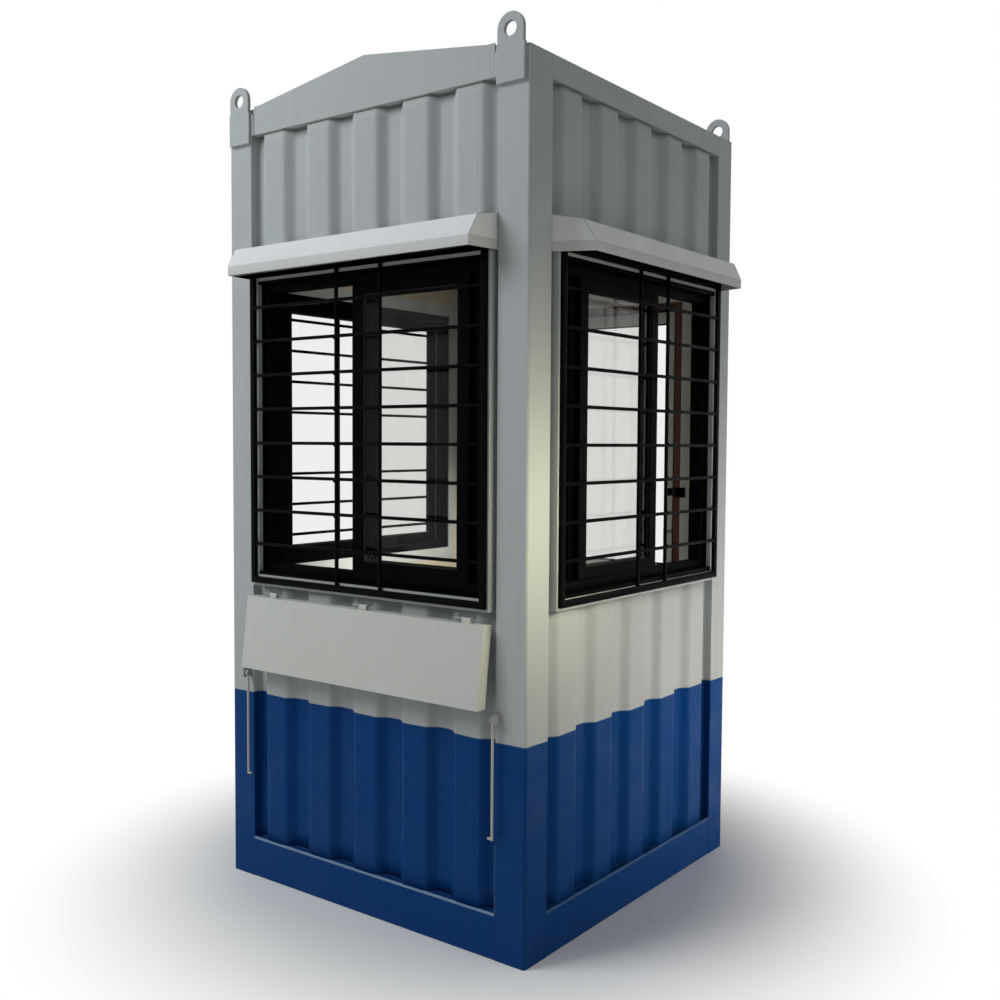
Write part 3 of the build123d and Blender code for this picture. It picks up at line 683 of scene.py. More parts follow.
# geometry node trees for what repeats or follows a line

def geometryTree(name, **inputs):
    inputs = {"Geometry": "NodeSocketGeometry", **inputs, "Material": "NodeSocketMaterial"}
    return newGroup(name, inputs, {"Geometry": "NodeSocketGeometry"}, "GeometryNodeTree")


def closeTree(t, shape, given):
    whole = t.geometry("RealizeInstances", {"Geometry": shape})
    painted = t.geometry("SetMaterial", {"Geometry": whole, "Material": given["Material"]})
    return t.give({"Geometry": painted})


def makePressedSheetTree():
    # a flat grid pushed into trapezoid pressings with softly bent folds
    t, given = geometryTree(
        "pressedSheet", Length=1.0, Low=0.0, High=1.0, Pitch=0.2, Crest=0.092, Flank=0.028, Depth=0.025,
        SetBack=0.004, Bend=0.3, Ripple=0.001, Columns=("NodeSocketInt", 200), Rows=("NodeSocketInt", 16)
    )
    grid = t.geometry("MeshGrid", {
        "Size X": given["Length"], "Size Y": t.minus(given["High"], given["Low"]),
        "Vertices X": given["Columns"], "Vertices Y": given["Rows"],
    })
    spot = t.geometry("InputPosition")
    parts = t.put("ShaderNodeSeparateXYZ", {0: spot}).outputs
    middle = t.times(t.calc("ADD", given["High"], given["Low"]), 0.5)
    level = t.calc("ADD", parts[1], middle)
    fall = t.calc("PINGPONG", parts[0], t.times(given["Pitch"], 0.5))
    fall = t.calc("DIVIDE", t.minus(fall, t.times(given["Crest"], 0.5)), given["Flank"])
    fall = t.calc("SMOOTH_MIN", t.calc("SMOOTH_MAX", fall, 0.0, given["Bend"]), 1.0, given["Bend"])
    ripple = t.times(t.minus(t.noise(spot, 3.5, 1.0), 0.5), given["Ripple"])
    back = t.calc("ADD", t.timesPlus(fall, given["Depth"], given["SetBack"]), ripple)
    pushed = t.shader("CombineXYZ", {0: parts[0], 1: back, 2: level})
    return closeTree(t, t.geometry("SetPosition", {"Geometry": grid, "Position": pushed}), given)


def makeBeadTree():
    # runs a lumpy round bead along every edge of the line mesh
    t, given = geometryTree(
        "weldBead", Radius=0.002, Step=0.004, Lumps=0.35, Drift=0.0006, Grain=160.0,
        Sides=("NodeSocketInt", 8)
    )
    line = t.geometry("MeshToCurve", {"Mesh": given["Geometry"]})
    line = t.geometry("ResampleCurve", {"Curve": line, "Length": given["Step"]}, mode="LENGTH")
    inputs = {"Vector": t.geometry("InputPosition"), "Scale": given["Grain"], "Detail": 1.0}
    noise = t.put("ShaderNodeTexNoise", inputs).outputs
    wander = t.shader("VectorMath", {0: noise[1], 1: (0.5, 0.5, 0.5)}, operation="SUBTRACT")
    wander = t.shader("VectorMath", {0: wander, 3: given["Drift"]}, operation="SCALE")
    line = t.geometry("SetPosition", {"Geometry": line, "Offset": wander})
    swell = t.timesPlus(t.times(t.minus(noise[0], 0.5), given["Lumps"]), 2.0, 1.0)
    line = t.geometry("SetCurveRadius", {"Curve": line, "Radius": swell})
    inputs = {"Resolution": given["Sides"], "Radius": given["Radius"]}
    section = t.geometry("CurvePrimitiveCircle", inputs, mode="RADIUS")
    tube = t.geometry("CurveToMesh", {"Curve": line, "Profile Curve": section, "Fill Caps": True})
    return closeTree(t, tube, given)


def makeFixingTree():
    # sets a head on every point of the mesh, square to its face and turned by chance
    t, given = geometryTree(
        "fixingHeads", Head="NodeSocketObject", Seed=("NodeSocketInt", 3), Size=1.0, Vary=0.0
    )
    facing = t.geometry("InputNamedAttribute", {"Name": "facing"}, data_type="FLOAT_VECTOR")
    turn = t.put("FunctionNodeAlignRotationToVector", {"Vector": facing}, axis="Z").outputs[0]
    head = t.geometry("ObjectInfo", {"Object": given["Head"]}, "Geometry")
    limits = {
        2: t.minus(given["Size"], given["Vary"]), 3: t.calc("ADD", given["Size"], given["Vary"]),
        "Seed": given["Seed"],
    }
    size = t.put("FunctionNodeRandomValue", limits).outputs[1]
    points = t.geometry("MeshToPoints", {"Mesh": given["Geometry"]})
    inputs = {"Points": points, "Instance": head, "Rotation": turn, "Scale": size}
    spread = t.geometry("InstanceOnPoints", inputs)
    spin = t.put("FunctionNodeRandomValue", {2: 0.0, 3: 6.283, "Seed": given["Seed"]}).outputs[1]
    spin = t.shader("CombineXYZ", {2: spin})
    return closeTree(t, t.geometry("RotateInstances", {"Instances": spread, "Rotation": spin}), given)


def grow(tree, start, settings):
    # runs a tree on a start mesh and gives back the plain result
    holder = addObject("holder", start)
    modifier = holder.modifiers.new("grow", "NODES")
    modifier.node_group = tree
    for item in tree.interface.items_tree:
        if item.item_type == "SOCKET" and item.in_out == "INPUT" and item.name in settings:
            modifier[item.identifier] = settings[item.name]
    holder.update_tag()
    graph = bpy.context.evaluated_depsgraph_get()
    graph.update()
    mesh = bpy.data.meshes.new_from_object(holder.evaluated_get(graph))
    holder.modifiers.remove(modifier)
    bpy.data.objects.remove(holder)
    return mesh


def lineMesh(lines):
    mesh = bpy.data.meshes.new("lines")
    points, edges = [], []
    for line in lines:
        edges += [(len(points) + index, len(points) + index + 1) for index in range(len(line) - 1)]
        points += [tuple(point) for point in line]
    mesh.from_pydata(points, edges, [])
    return mesh


def fixingMesh(spots):
    mesh = bpy.data.meshes.new("spots")
    mesh.from_pydata([tuple(place) for place, _ in spots], [], [])
    facing = mesh.attributes.new("facing", "FLOAT_VECTOR", "POINT")
    for index, (_, normal) in enumerate(spots):
        facing.data[index].vector = normal
    return mesh


sheetTree = makePressedSheetTree()
beadTree = makeBeadTree()
fixingTree = makeFixingTree()
print("booth: geometry trees built")


# pressed wall sheets

sheetSettings = {
    "Pitch": 0.2, "Crest": 0.092, "Flank": 0.028, "Depth": 0.025, "SetBack": 0.004, "Bend": 0.42,
    "Ripple": 0.0016, "Columns": 230, "Rows": 16, "thickness": 0.0016,
}


def sheetBack(u):
    # how far behind the posts' face the sheet is at a place along the wall
    half = sheetSettings["Pitch"] / 2
    fromCrest = abs((u + half) % sheetSettings["Pitch"] - half)
    fall = (fromCrest - sheetSettings["Crest"] / 2) / sheetSettings["Flank"]
    return sheetSettings["SetBack"] + min(max(fall, 0.0), 1.0) * sheetSettings["Depth"]


def makeWallSheet(side):
    spans = [(trimHigh.z, gableLow)] + ([] if side == "back" else [(railTop, trimLow.z)])
    bm = bmesh.new()
    for low, high in spans:
        size = {"Length": 2 * bayHalf, "Low": low, "High": high, "Material": paints["wall_paint"]}
        mesh = grow(sheetTree, bpy.data.meshes.new("empty"), {**sheetSettings, **size})
        bm.from_mesh(mesh)
        bpy.data.meshes.remove(mesh)
    mesh = plainMesh(bm, "sheets")
    mesh.transform(wallPlace(side))
    stands = ("wall_sheet_" + side,)
    piece = addPiece("pressedSheets_" + side, mesh, "cabin", "wall_paint", stands, smooth=60)
    thick = piece.modifiers.new("thickness", "SOLIDIFY")
    thick.thickness = sheetSettings["thickness"]
    thick.offset = -1


for side in wallTurns:
    makeWallSheet(side)
print("booth: wall sheets pressed")

# posts, rails, roof, canopies, windows and door, with their edges softened

softSettings = {
    "corner": 0.009, "post": 0.0012, "rail": 0.003, "gable": 0.0013, "roof": 0.001, "lug": 0.0018,
    "canopy": 0.0022, "trim": 0.0012, "sash": 0.0012, "door": 0.0015, "ledge": 0.0012, "long": 0.3,
}
longOnly = {"shortest": softSettings["long"]}
for name in cornerNames:
    softPiece(
        "foldedPost_" + name, "corner_post_" + name, "wall_paint", softSettings["post"],
        corner=softSettings["corner"], **longOnly
    )
    softPiece("liftingEye_" + name, "lifting_lug_" + name, "wall_paint", softSettings["lug"])
softPiece("baseRails", "base_rails", "base_paint", softSettings["rail"], **longOnly)
softPiece("topRails", "top_rails", "wall_paint", softSettings["gable"], **longOnly)
softPiece("roofPlate", "roof_sheet", "roof_paint", softSettings["roof"], segments=2)
for side in ("front", "back"):
    softPiece("gableBeam_" + side, "gable_" + side, "wall_paint", softSettings["gable"])
for side in wallTurns:
    softPiece("rainCanopy_" + side, "canopy_" + side, "canopy_paint", softSettings["canopy"])
for side in windowSides:
    softPiece("windowTrim_" + side, "window_surround_" + side, "wall_paint", softSettings["trim"], segments=2)
    softPiece("slidingSashes_" + side, "window_" + side, "sash_aluminium", softSettings["sash"], segments=2)
softPiece("doorTrim", "door_surround", "wall_paint", softSettings["trim"], segments=2)
softPiece("doorJambs", "door_frame", "door_frame_paint", softSettings["door"], segments=2)
softPiece("doorLeaf", "door_leaf", "door_paint", softSettings["door"], segments=2)
# the ledge gets the lighter copy of the wall paint, as painted light
softPiece("foldDownLedge", "ledge", "wall_paint", softSettings["ledge"], "ledge_painted_bright", segments=2)
print("booth: steelwork softened")

# CAD pieces that keep their shape

keptNodes = {
    "lining_board": ("inner_lining",), "ceiling_paint": ("ceiling_board",), "deck_vinyl": ("floor_deck",),
    "joist_steel": ("floor_joists",), "bright_steel": ("door_hardware",),
    "window_glass": ("window_glass_front", "window_glass_right", "window_glass_left", "door_glass"),
    "hinge_steel": ("door_hinge_plates", "ledge_fittings"), "stay_steel": ("stay_left", "stay_right"),
}
for slotName, nodes in keptNodes.items():
    for node in nodes:
        cad[node].data.materials.clear()
        cad[node].data.materials.append(paints[slotName])
print("booth: plain nodes painted")

# window grilles

grilleSettings = {
    "frame": 0.020, "bar": 0.012, "rod": 0.010, "drop": 0.003, "rise": 0.009, "rows": 8, "round": 0.0022,
    "behind": 0.0004,
    "uprights": {"front": (-0.095, 0.086), "right": (-0.052, 0.120), "left": (-0.093, 0.093)},
}


def grilleLines():
    frame, rows = grilleSettings["frame"], grilleSettings["rows"]
    top = trimHigh.z - grilleSettings["drop"]
    foot = trimLow.z + grilleSettings["rise"]
    pitch = (top - frame / 2 - foot - frame) / (rows + 1)
    return trimHalf - grilleInset, foot, top, [foot + frame + row * pitch for row in range(1, rows + 1)]


def makeGrille(side):
    half, foot, top, levels = grilleLines()
    frame, bar, rod, radius = (grilleSettings[key] for key in ("frame", "bar", "rod", "round"))
    face, end, soft = trimOut + bar, frame * 0.6, radius * 0.3
    slim = trimOut + (bar - rod) / 2
    bm = bmesh.new()
    mitredRing(bm, -half, half, foot, top, [
        (0, trimOut), (0, face - radius), (soft, face - soft), (radius, face), (frame - radius, face),
        (frame - soft, face - soft), (frame, face - radius), (frame, trimOut),
    ])
    for level in levels:
        low, high = (end - half, -slim - rod, level - rod / 2), (half - end, -slim, level + rod / 2)
        roundedBar(bm, low, high, radius)
    slim -= grilleSettings["behind"]
    for middle in grilleSettings["uprights"][side]:
        low, high = (middle - rod / 2, -slim - rod, foot + end), (middle + rod / 2, -slim, top - end)
        roundedBar(bm, low, high, radius)
    mesh = meshFrom(bm, "grille", wallPlace(side))
    addPiece("grille_bars_" + side, mesh, "cabin", "grille_paint", ("grille_" + side,))


for side in windowSides:
    makeGrille(side)
print("booth: grilles built")

# black liners in the window reveals

linerSettings = {
    "thick": 0.003, "over": 0.0008, "back": 0.012, "round": 0.001, "lipRound": 0.0003,
    # lip widths per side also cover the shaded trim strip under the grille bars: painted shade
    "shadeLips": {"front": 0.006, "right": 0.011, "left": 0.008},
}


def makeLiner(side):
    # black angles on the sill and the head, and strips deep in the sides; the angles' lips, wider on some
    # sides, also cover trim that stands in shade, as painted shade
    thick, back, rounded = (linerSettings[key] for key in ("thick", "back", "round"))
    front, half = -trimOut - linerSettings["over"], openHigh.x
    bm = bmesh.new()
    for level, up in ((openLow.z, 1), (openHigh.z, -1)):
        inside, outside = level + up * thick, level - up * linerSettings["shadeLips"][side]
        roundedBar(bm, *boxAround([(-half, front, level), (half, back, inside)]), rounded * 0.5)
        lip = boxAround([(-half, front, outside), (half, -trimOut, inside)])
        roundedBar(bm, *lip, linerSettings["lipRound"])
    for sign in (-1, 1):
        ends = [(sign * half, 0, openLow.z), (sign * (half - thick), back, openHigh.z)]
        roundedBar(bm, *boxAround(ends), rounded)
    addPiece("revealLiner_" + side, meshFrom(bm, "liner", wallPlace(side)), "cabin", "sash_aluminium")


for side in windowSides:
    makeLiner(side)
print("booth: reveals lined")

# weld beads, seam filler and worn edges

beadSettings = {
    "weld": {"Radius": 0.0022, "Step": 0.005, "Lumps": 0.35, "Drift": 0.0006, "Grain": 160.0, "Sides": 8},
    "caulk": {"Radius": 0.0030, "Step": 0.012, "Lumps": 0.25, "Drift": 0.0005, "Grain": 30.0, "Sides": 8},
    "thin": {"Radius": 0.0013, "Step": 0.006, "Lumps": 0.25, "Drift": 0.0002, "Grain": 120.0, "Sides": 6},
    "ragged": {"Radius": 0.0046, "Step": 0.006, "Lumps": 0.45, "Drift": 0.0012, "Grain": 60.0, "Sides": 8},
    "sunk": 0.4,  # share of the radius by which a bead is pulled out of its corner
    "lineStep": 0.008, "lugPlate": 0.004, "fillerOut": 0.0035, "footGap": 0.002, "eaveDrop": 0.003,
    "ridgeDrop": 0.003, "ridgeEnd": 0.006, "gableEnd": 0.004,
}
wornAndHighlightSettings = {"railOut": 0.0022, "railDrop": 0.0008, "postAside": 0.0006, "postOut": 0.0012, "postUp": 0.20}
canopySettings = {
    "out": 0.075, "fall": 0.014, "lip": 0.030, "foldIn": 0.002,
    "ends": {
        "front": (-0.494, 0.487), "right": (-0.446, 0.468), "back": (-0.48, 0.48), "left": (-0.48, 0.48),
    },
}


def addBeads(name, side, lines, kind, slotName, paint=None, **changes):
    settings = {**beadSettings[kind], "Material": paints[paint or slotName], **changes}
    mesh = grow(beadTree, lineMesh([onWall(side, line) for line in lines]), settings)
    addPiece(name, mesh, "cabin", slotName, paint=paint, smooth=80)


def bothEnds(half, depth, low, high):
    # an upright line at each end of a wall
    return [[(sign * half, depth, low), (sign * half, depth, high)] for sign in (-1, 1)]


def sunkOf(kind):
    return beadSettings[kind]["Radius"] * beadSettings["sunk"]


def sheetLine(level, lift):
    # follows the pressed sheet from post to post at one height
    count = round(2 * bayHalf / beadSettings["lineStep"])
    spots = [-bayHalf + 2 * bayHalf * index / count for index in range(count + 1)]
    return [(u, sheetBack(u) - lift, level) for u in spots]


def makeWallSeams(side):
    lift = sunkOf("caulk")
    depth = sheetBack(bayHalf) - lift
    lines, trimFoot = [sheetLine(trimHigh.z + lift, lift)], railTop
    if side != "back":
        lines += [sheetLine(railTop + lift, lift), sheetLine(trimLow.z - lift, lift)]
        trimFoot = trimLow.z
    posts = bothEnds(bayHalf - lift, depth, railTop, gableLow)
    trims = bothEnds(trimHalf + lift, depth, trimFoot, trimHigh.z)
    for pair in zip(posts, trims):
        lines += pair
    addBeads("sheetSeams_" + side, side, lines, "caulk", "wall_paint", "seam")
    # a dark bead along the sheet heads under the gable: dirt and a painted shadow line
    head = [sheetLine(gableLow - lift, lift)]
    addBeads("sheetHeads_" + side, side, head, "caulk", "wall_paint", "seam_dark")


def makeFrameWelds(side):
    low, high = wallBox(side, "canopy_" + side)
    sunk = sunkOf("thin")
    lines = bothEnds(bayHalf, sunk, beadSettings["footGap"], railTop)
    if side in ("right", "left"):
        level = eaveTop - beadSettings["eaveDrop"]
        lines += bothEnds(bayHalf, sunk, gableLow, level - 0.001)
        lines.append([(-bayHalf, sunk, level), (bayHalf, sunk, level)])
    bends = (
        (high.y, high.z), (-canopySettings["out"], high.z - canopySettings["fall"]),
        (low.y + canopySettings["foldIn"], low.z + canopySettings["lip"]),
    )
    for root, tip in zip((low.x, high.x), canopySettings["ends"][side]):
        lines.append([
            (root + (tip - root) * ((high.y - out) / (high.y - low.y)), out, level) for out, level in bends
        ])
    addBeads("frameWelds_" + side, side, lines, "thin", "wall_paint", "seam")
    top = [(end, high.y - sunk, high.z) for end in (low.x, high.x)]
    addBeads("canopySeal_" + side, side, [top], "caulk", "canopy_paint")


def makeGableWelds(side):
    sunk = sunkOf("weld")
    plate, end = beadSettings["lugPlate"] + sunk, boothHalf - beadSettings["gableEnd"]
    lugLow, lugHigh = wallBox("front", "lifting_lug_fr")
    lines = [[(-end, plate, eaveTop), (0, plate, ridgeTop + sunk), (end, plate, eaveTop)]]
    for sign in (-1, 1):
        inner, outer, low = sign * (lugLow.x - sunk), sign * (lugHigh.x + sunk), lugLow.z - sunk
        spots = ((inner, eaveTop), (inner, low), (outer, low), (outer, eaveTop))
        lines.append([(u, -sunk, level) for u, level in spots])
    addBeads("lugWelds_" + side, side, lines, "weld", "wall_paint", "seam")
    radius = (wallBox(side, "gable_" + side)[1].x - trimHalf) / 2
    lines = bothEnds((trimHalf + bayHalf) / 2, beadSettings["fillerOut"], gableLow, eaveTop - 0.002)
    addBeads("gableFill_" + side, side, lines, "caulk", "wall_paint", "seam", Radius=radius)


for side in wallTurns:
    makeWallSeams(side)
    makeFrameWelds(side)
for side in ("front", "back"):
    makeGableWelds(side)
ridgeEnd, ridgeLevel = beadSettings["ridgeEnd"], ridgeTop - beadSettings["ridgeDrop"]
ridge = [(0, depth, ridgeLevel) for depth in (ridgeEnd, 2 * boothHalf - ridgeEnd)]
addBeads("ridgeWeld", "front", [ridge], "weld", "roof_paint")
for side, rubAndHighlight in (("front", "rubbed_highlight"), ("right", "rubbed_highlight_less"), ("left", "rubbed_highlight_less")):
    # pale bead along the top of the base rail, for worn paint and a painted highlight on its edge
    level = railTop - wornAndHighlightSettings["railDrop"]
    rail = [(end, wornAndHighlightSettings["railOut"], level) for end in (-bayHalf, bayHalf - 0.001)]
    addBeads("railEdge_" + side, side, [rail], "ragged", "base_paint", rubAndHighlight)
# a pale line up the near post's edge, for wear and a painted highlight
u, depth = bayHalf + wornAndHighlightSettings["postAside"], wornAndHighlightSettings["postOut"]
postEdge = [(u, depth, level) for level in (railTop, railTop + wornAndHighlightSettings["postUp"])]
addBeads("postEdge_front", "front", [postEdge], "weld", "base_paint", "rubbed_highlight_less")
print("booth: beads run")

# weld lumps on the grilles and screws on the frames, the door's hinges and the ledge's hinges

screwProfile = [
    (0, 0.001), (0.0012, 0.001), (0.0014, 0.0021), (0.0026, 0.002), (0.0038, 0.0012), (0.0042, -0.0004),
]
fixingSettings = {
    "lump": {"Size": 0.0052, "Vary": 0.0011}, "screw": {"Size": 1.0, "Vary": 0.0},
    "lumpIn": 0.0022, "frameInset": 0.0125, "frameEnd": 0.09, "frameMid": 0.29,
    "hingeLevels": (0.33, 1.05, 1.77), "hingeRise": 0.03, "hingeIn": 0.011, "hingePlate": 0.002,
    "ledgeMiddles": (-0.4, 0.0, 0.4), "ledgeScrew": 0.021, "ledgeLevel": 0.9715, "ledgePlate": 0.002,
}


def headObject(name, bm):
    mesh = plainMesh(bm, name)
    mesh.shade_smooth()
    return addObject(name, mesh)


def lumpHead():
    bm = bmesh.new()
    bmesh.ops.create_icosphere(bm, subdivisions=2, radius=1.0)
    for vert in bm.verts:
        wave = math.sin(4.1 * vert.co.x + 1.3) * math.cos(3.3 * vert.co.y) + 0.4 * math.sin(7 * vert.co.z)
        vert.co *= 1 + 0.12 * wave
        vert.co.z *= 0.6
    return headObject("lumpHead", bm)


def screwHead():
    bm = bmesh.new()
    turnedForm(bm, screwProfile, Matrix.Identity(4), 14)
    bmesh.ops.recalc_face_normals(bm, faces=bm.faces)
    return headObject("screwHead", bm)


def addFixings(name, side, points, kind, slotName, seed, paint=None):
    outward = wallPlace(side).to_3x3() @ Vector((0, -1, 0))
    spots = [(place, outward) for place in onWall(side, points)]
    material = paints[paint or slotName]
    settings = {**fixingSettings[kind], "Head": heads[kind], "Seed": seed, "Material": material}
    mesh = grow(fixingTree, fixingMesh(spots), settings)
    addPiece(name, mesh, "cabin", slotName, paint=paint, smooth=50)


def grilleLumps(side):
    half, foot, top, levels = grilleLines()
    frame, reach = grilleSettings["frame"], grilleSettings["rod"] / 2
    uprights = grilleSettings["uprights"][side]
    spots = []
    for level in levels:
        spots += [(sign * (half - frame), level + sign * reach * 0.6) for sign in (-1, 1)]
        spots += [(middle + turn, level + turn) for middle in uprights for turn in (reach, -reach)]
    spots += [(middle, level) for middle in uprights for level in (foot + frame, top - frame)]
    front = -(trimOut + grilleSettings["bar"] - fixingSettings["lumpIn"])
    return [(u, front, level) for u, level in spots]


def frameScrews():
    inset, face = fixingSettings["frameInset"], wallBox("front", "window_front")[0].y
    side, middle = openHigh.x - inset - linerSettings["thick"] / 2, (openLow.z + openHigh.z) / 2
    ends = (openLow.z + fixingSettings["frameEnd"], middle, openHigh.z - fixingSettings["frameEnd"])
    points = [(sign * side, face, level) for sign in (-1, 1) for level in ends]
    across = (-fixingSettings["frameMid"], 0.0, fixingSettings["frameMid"])
    return points + [(u, face, level) for u in across for level in (openLow.z + inset, openHigh.z - inset)]


def hingeScrews():
    u = wallBox("back", "door_hinge_plates")[1].x - fixingSettings["hingeIn"]
    face, rise = -(trimOut + fixingSettings["hingePlate"]), fixingSettings["hingeRise"]
    levels = fixingSettings["hingeLevels"]
    return [(u, face, level + step * rise) for level in levels for step in (-1, 0, 1)]


def ledgeScrews():
    apart, level = fixingSettings["ledgeScrew"], fixingSettings["ledgeLevel"]
    return [
        (middle + sign * apart, fixingSettings["ledgePlate"], level)
        for middle in fixingSettings["ledgeMiddles"] for sign in (-1, 1)
    ]


heads = {"lump": lumpHead(), "screw": screwHead()}
for seed, side in enumerate(windowSides):
    addFixings("grilleLumps_" + side, side, grilleLumps(side), "lump", "grille_paint", seed)
    addFixings("frameScrews_" + side, side, frameScrews(), "screw", "bright_steel", seed, "sash_aluminium")
addFixings("hingeScrews", "back", hingeScrews(), "screw", "bright_steel", 5)
addFixings("ledgeScrews", "front", ledgeScrews(), "screw", "hinge_steel", 6)
for head in heads.values():
    bpy.data.objects.remove(head)
print("booth: fixings set")

# gaskets, track ribs and pulls of the windows and the door

sealSettings = {"proud": 0.0035, "flat": 0.002, "wide": 0.006, "thin": 0.0006}
ribSettings = {
    "places": (0.0135, 0.035), "thick": 0.0012, "tall": 0.006, "end": 0.004, "frame": 0.025, "foot": 0.001,
    "round": 0.0003,
}
pullSettings = {"wide": 0.014, "near": 0.0045, "far": 0.0015, "round": 0.0012}


def paneBoxes(side, node):
    # the box of every pane of a glass node, in wall coordinates
    back = wallPlace(side).inverted()
    bm = bmesh.new()
    bm.from_mesh(cad[node].data)
    bmesh.ops.remove_doubles(bm, verts=bm.verts, dist=1e-5)
    waiting, boxes = set(bm.verts), []
    while waiting:
        island, edge = set(), [waiting.pop()]
        while edge:
            vert = edge.pop()
            island.add(vert)
            near = {link.other_vert(vert) for link in vert.link_edges} & waiting
            waiting -= near
            edge += near
        boxes.append(boxAround([back @ vert.co for vert in island]))
    bm.free()
    return sorted(boxes, key=lambda box: box[0].x)


def makeGaskets(side, node, body, slotName):
    bm = bmesh.new()
    proud, flat, wide, thin = (sealSettings[key] for key in ("proud", "flat", "wide", "thin"))
    for low, high in paneBoxes(side, node):
        for face, sign in ((-low.y, 1), (-high.y, -1)):
            outline = ((0, 0), (0, proud), (flat, proud), (wide, thin), (wide, 0))
            places = [(inset, face + sign * out) for inset, out in outline]
            mitredRing(bm, low.x, high.x, low.z, high.z, places)
    mesh = meshFrom(bm, "gaskets", wallPlace(side))
    addPiece("gaskets_" + side, mesh, body, slotName, paint="rubber", smooth=30)


def makeTracks(side):
    # low ribs that guide the sashes, at the sill and the head
    bm = bmesh.new()
    thick, tall, frame, foot = (ribSettings[key] for key in ("thick", "tall", "frame", "foot"))
    half, sill, head = openHigh.x - frame - ribSettings["end"], openLow.z + frame, openHigh.z - frame
    for middle in ribSettings["places"]:
        for low, high in ((sill - foot, sill + tall), (head - tall, head + foot)):
            ends = (-half, middle - thick / 2, low), (half, middle + thick / 2, high)
            roundedBar(bm, *ends, ribSettings["round"])
    addPiece("trackRibs_" + side, meshFrom(bm, "ribs", wallPlace(side)), "cabin", "sash_aluminium")


def makePull(side):
    # a full-height pull on the end stile of the right sash
    low, high = paneBoxes(side, "window_glass_" + side)[-1]
    bm = bmesh.new()
    start = (high.x - pullSettings["wide"], low.y - pullSettings["near"], low.z)
    roundedBar(bm, start, (high.x, low.y - pullSettings["far"], high.z), pullSettings["round"])
    addPiece("sashPull_" + side, meshFrom(bm, "pull", wallPlace(side)), "cabin", "sash_aluminium")


for side in windowSides:
    makeGaskets(side, "window_glass_" + side, "cabin", "sash_aluminium")
    makeTracks(side)
makeGaskets("back", "door_glass", "door", "door_paint")
for side in ("front", "right"):
    makePull(side)
print("booth: gaskets and tracks made")

# door seal, tower bolt, keeper and lock cylinders, from the back wall's inside

doorSealSettings = {"past": 0.005, "under": 0.025, "lip": 0.008, "near": 0.050, "far": 0.060, "round": 0.002}
boltSettings = {
    "level": 1.28, "rod": 0.005, "from": 0.391, "to": 0.424, "away": 0.009, "plate": 0.014,
    "plateThick": 0.002, "plateRound": 0.0006, "plateFrom": 0.387, "plateTo": 0.422, "knobAt": 0.4065,
    "loops": (0.393, 0.414), "loopWide": 0.006, "loopHigh": 0.009, "loopOut": 0.0165, "loopIn": 0.001,
    "loopRound": 0.002,
    "knob": [(0, 0), (0.003, 0), (0.003, 0.010), (0.006, 0.012), (0.006, 0.017), (0.004, 0.019), (0, 0.019)],
}
keeperSettings = {
    "board": 0.009,  # thickness of the lining board that carries the keeper
    "bars": (  # ends along the wall, from and to a depth, half the height, rounding
        (0.436, 0.478, 0.003, 0.0, 0.018, 0.0008), (0.442, 0.456, 0.014, 0.002, 0.012, 0.002),
    ),
}
cylinderSettings = {
    "u": 0.407, "level": 0.925, "proud": 0.003, "steps": 24,
    "profile": [
        (0, 0), (0.0085, 0), (0.0085, 0.0035), (0.0075, 0.005), (0.0022, 0.005), (0.0018, 0.003), (0, 0.003),
    ],
}


def turnedPlace(place, turn, axis):
    return Matrix.Translation(place) @ Matrix.Rotation(math.radians(turn), 4, axis)


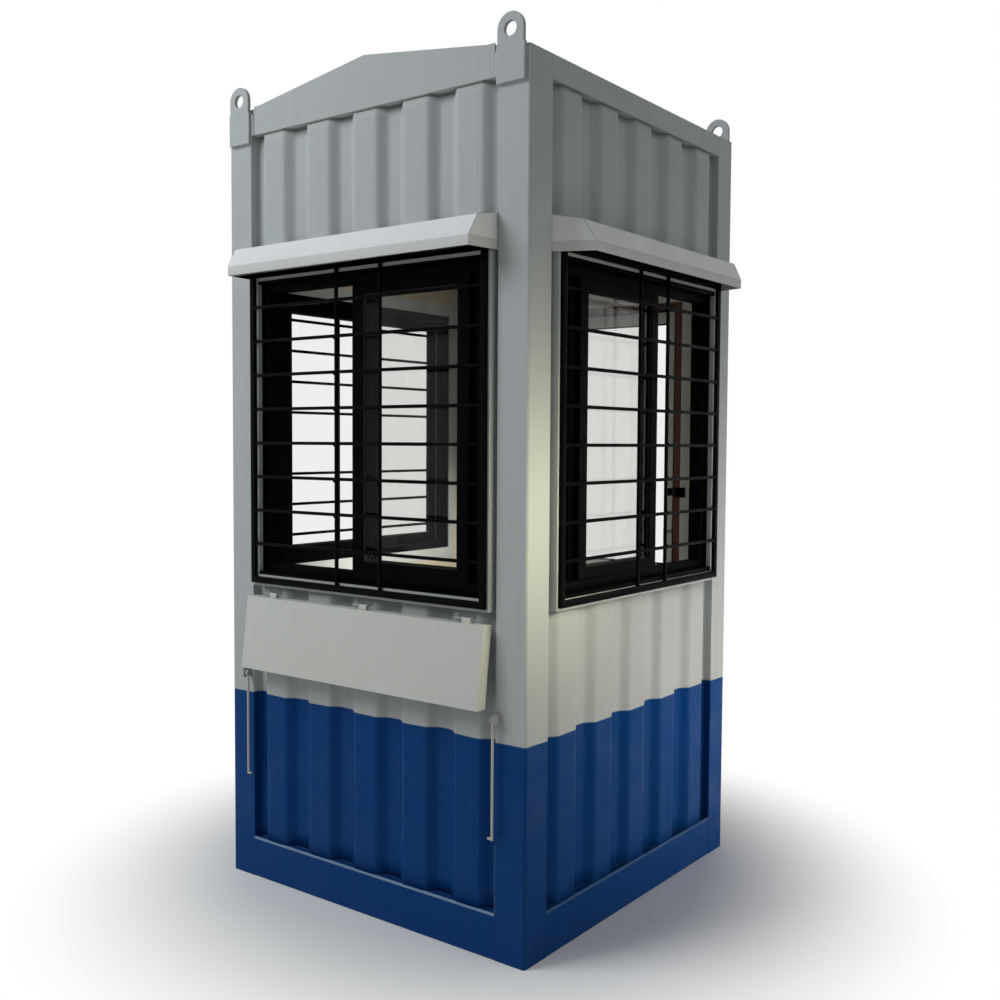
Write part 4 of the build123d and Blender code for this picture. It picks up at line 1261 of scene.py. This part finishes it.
def makeDoorSeal():
    past, under, lip, near, far, soft = doorSealSettings.values()
    low, high = wallBox("back", "door_frame")
    inner, top = wallBox("back", "door_leaf")[1].x + past, high.z - under
    bm = bmesh.new()
    for sign in (-1, 1):
        start, end = sorted((sign * inner, sign * (inner - lip)))
        roundedBar(bm, (start, near, low.z), (end, far, top - 0.001), soft)
    roundedBar(bm, (-inner, near, top - lip), (inner, far, top), soft)
    addPiece("doorSeal", meshFrom(bm, "seal", wallPlace("back")), "cabin", "door_frame_paint", paint="rubber")


def makeBolt():
    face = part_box("door_leaf")[0].y
    level, rod, start, end, away, plate = (
        boltSettings[key] for key in ("level", "rod", "from", "to", "away", "plate")
    )
    bm = bmesh.new()
    low = (boltSettings["plateFrom"], face - boltSettings["plateThick"], level - plate)
    roundedBar(bm, low, (boltSettings["plateTo"], face, level + plate), boltSettings["plateRound"])
    length = end - start
    bar = [
        (0, 0), (rod * 0.8, 0), (rod, rod * 0.3), (rod, length - rod * 0.5), (rod * 0.6, length), (0, length),
    ]
    turnedForm(bm, bar, turnedPlace((start, face - away, level), 90, "Y"))
    for x in boltSettings["loops"]:
        low = (x, face - boltSettings["loopOut"], level - boltSettings["loopHigh"])
        high = (x + boltSettings["loopWide"], face - boltSettings["loopIn"], level + boltSettings["loopHigh"])
        roundedBar(bm, low, high, boltSettings["loopRound"])
    turnedForm(bm, boltSettings["knob"], turnedPlace((boltSettings["knobAt"], face - away, level), 90, "X"))
    addPiece("towerBolt", meshFrom(bm, "bolt"), "door", "bright_steel", paint="grille_paint")


def makeKeeper():
    face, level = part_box("inner_lining")[1].y - keeperSettings["board"], boltSettings["level"]
    bm = bmesh.new()
    for start, end, out, back, tall, soft in keeperSettings["bars"]:
        roundedBar(bm, (start, face - out, level - tall), (end, face - back, level + tall), soft)
    addPiece("boltKeeper", meshFrom(bm, "keeper"), "cabin", "bright_steel", paint="grille_paint")


def makeCylinders():
    inner, outer = (corner.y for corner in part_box("door_leaf"))
    u, level, proud, steps, profile = cylinderSettings.values()
    bm = bmesh.new()
    for y, turn in ((outer + proud, -90), (inner - proud, 90)):
        turnedForm(bm, profile, turnedPlace((u, y, level), turn, "X"), steps)
    addPiece("lockCylinders", meshFrom(bm, "cylinders"), "door", "bright_steel", smooth=30)


makeDoorSeal()
makeBolt()
makeKeeper()
makeCylinders()
print("booth: seals and latch made")
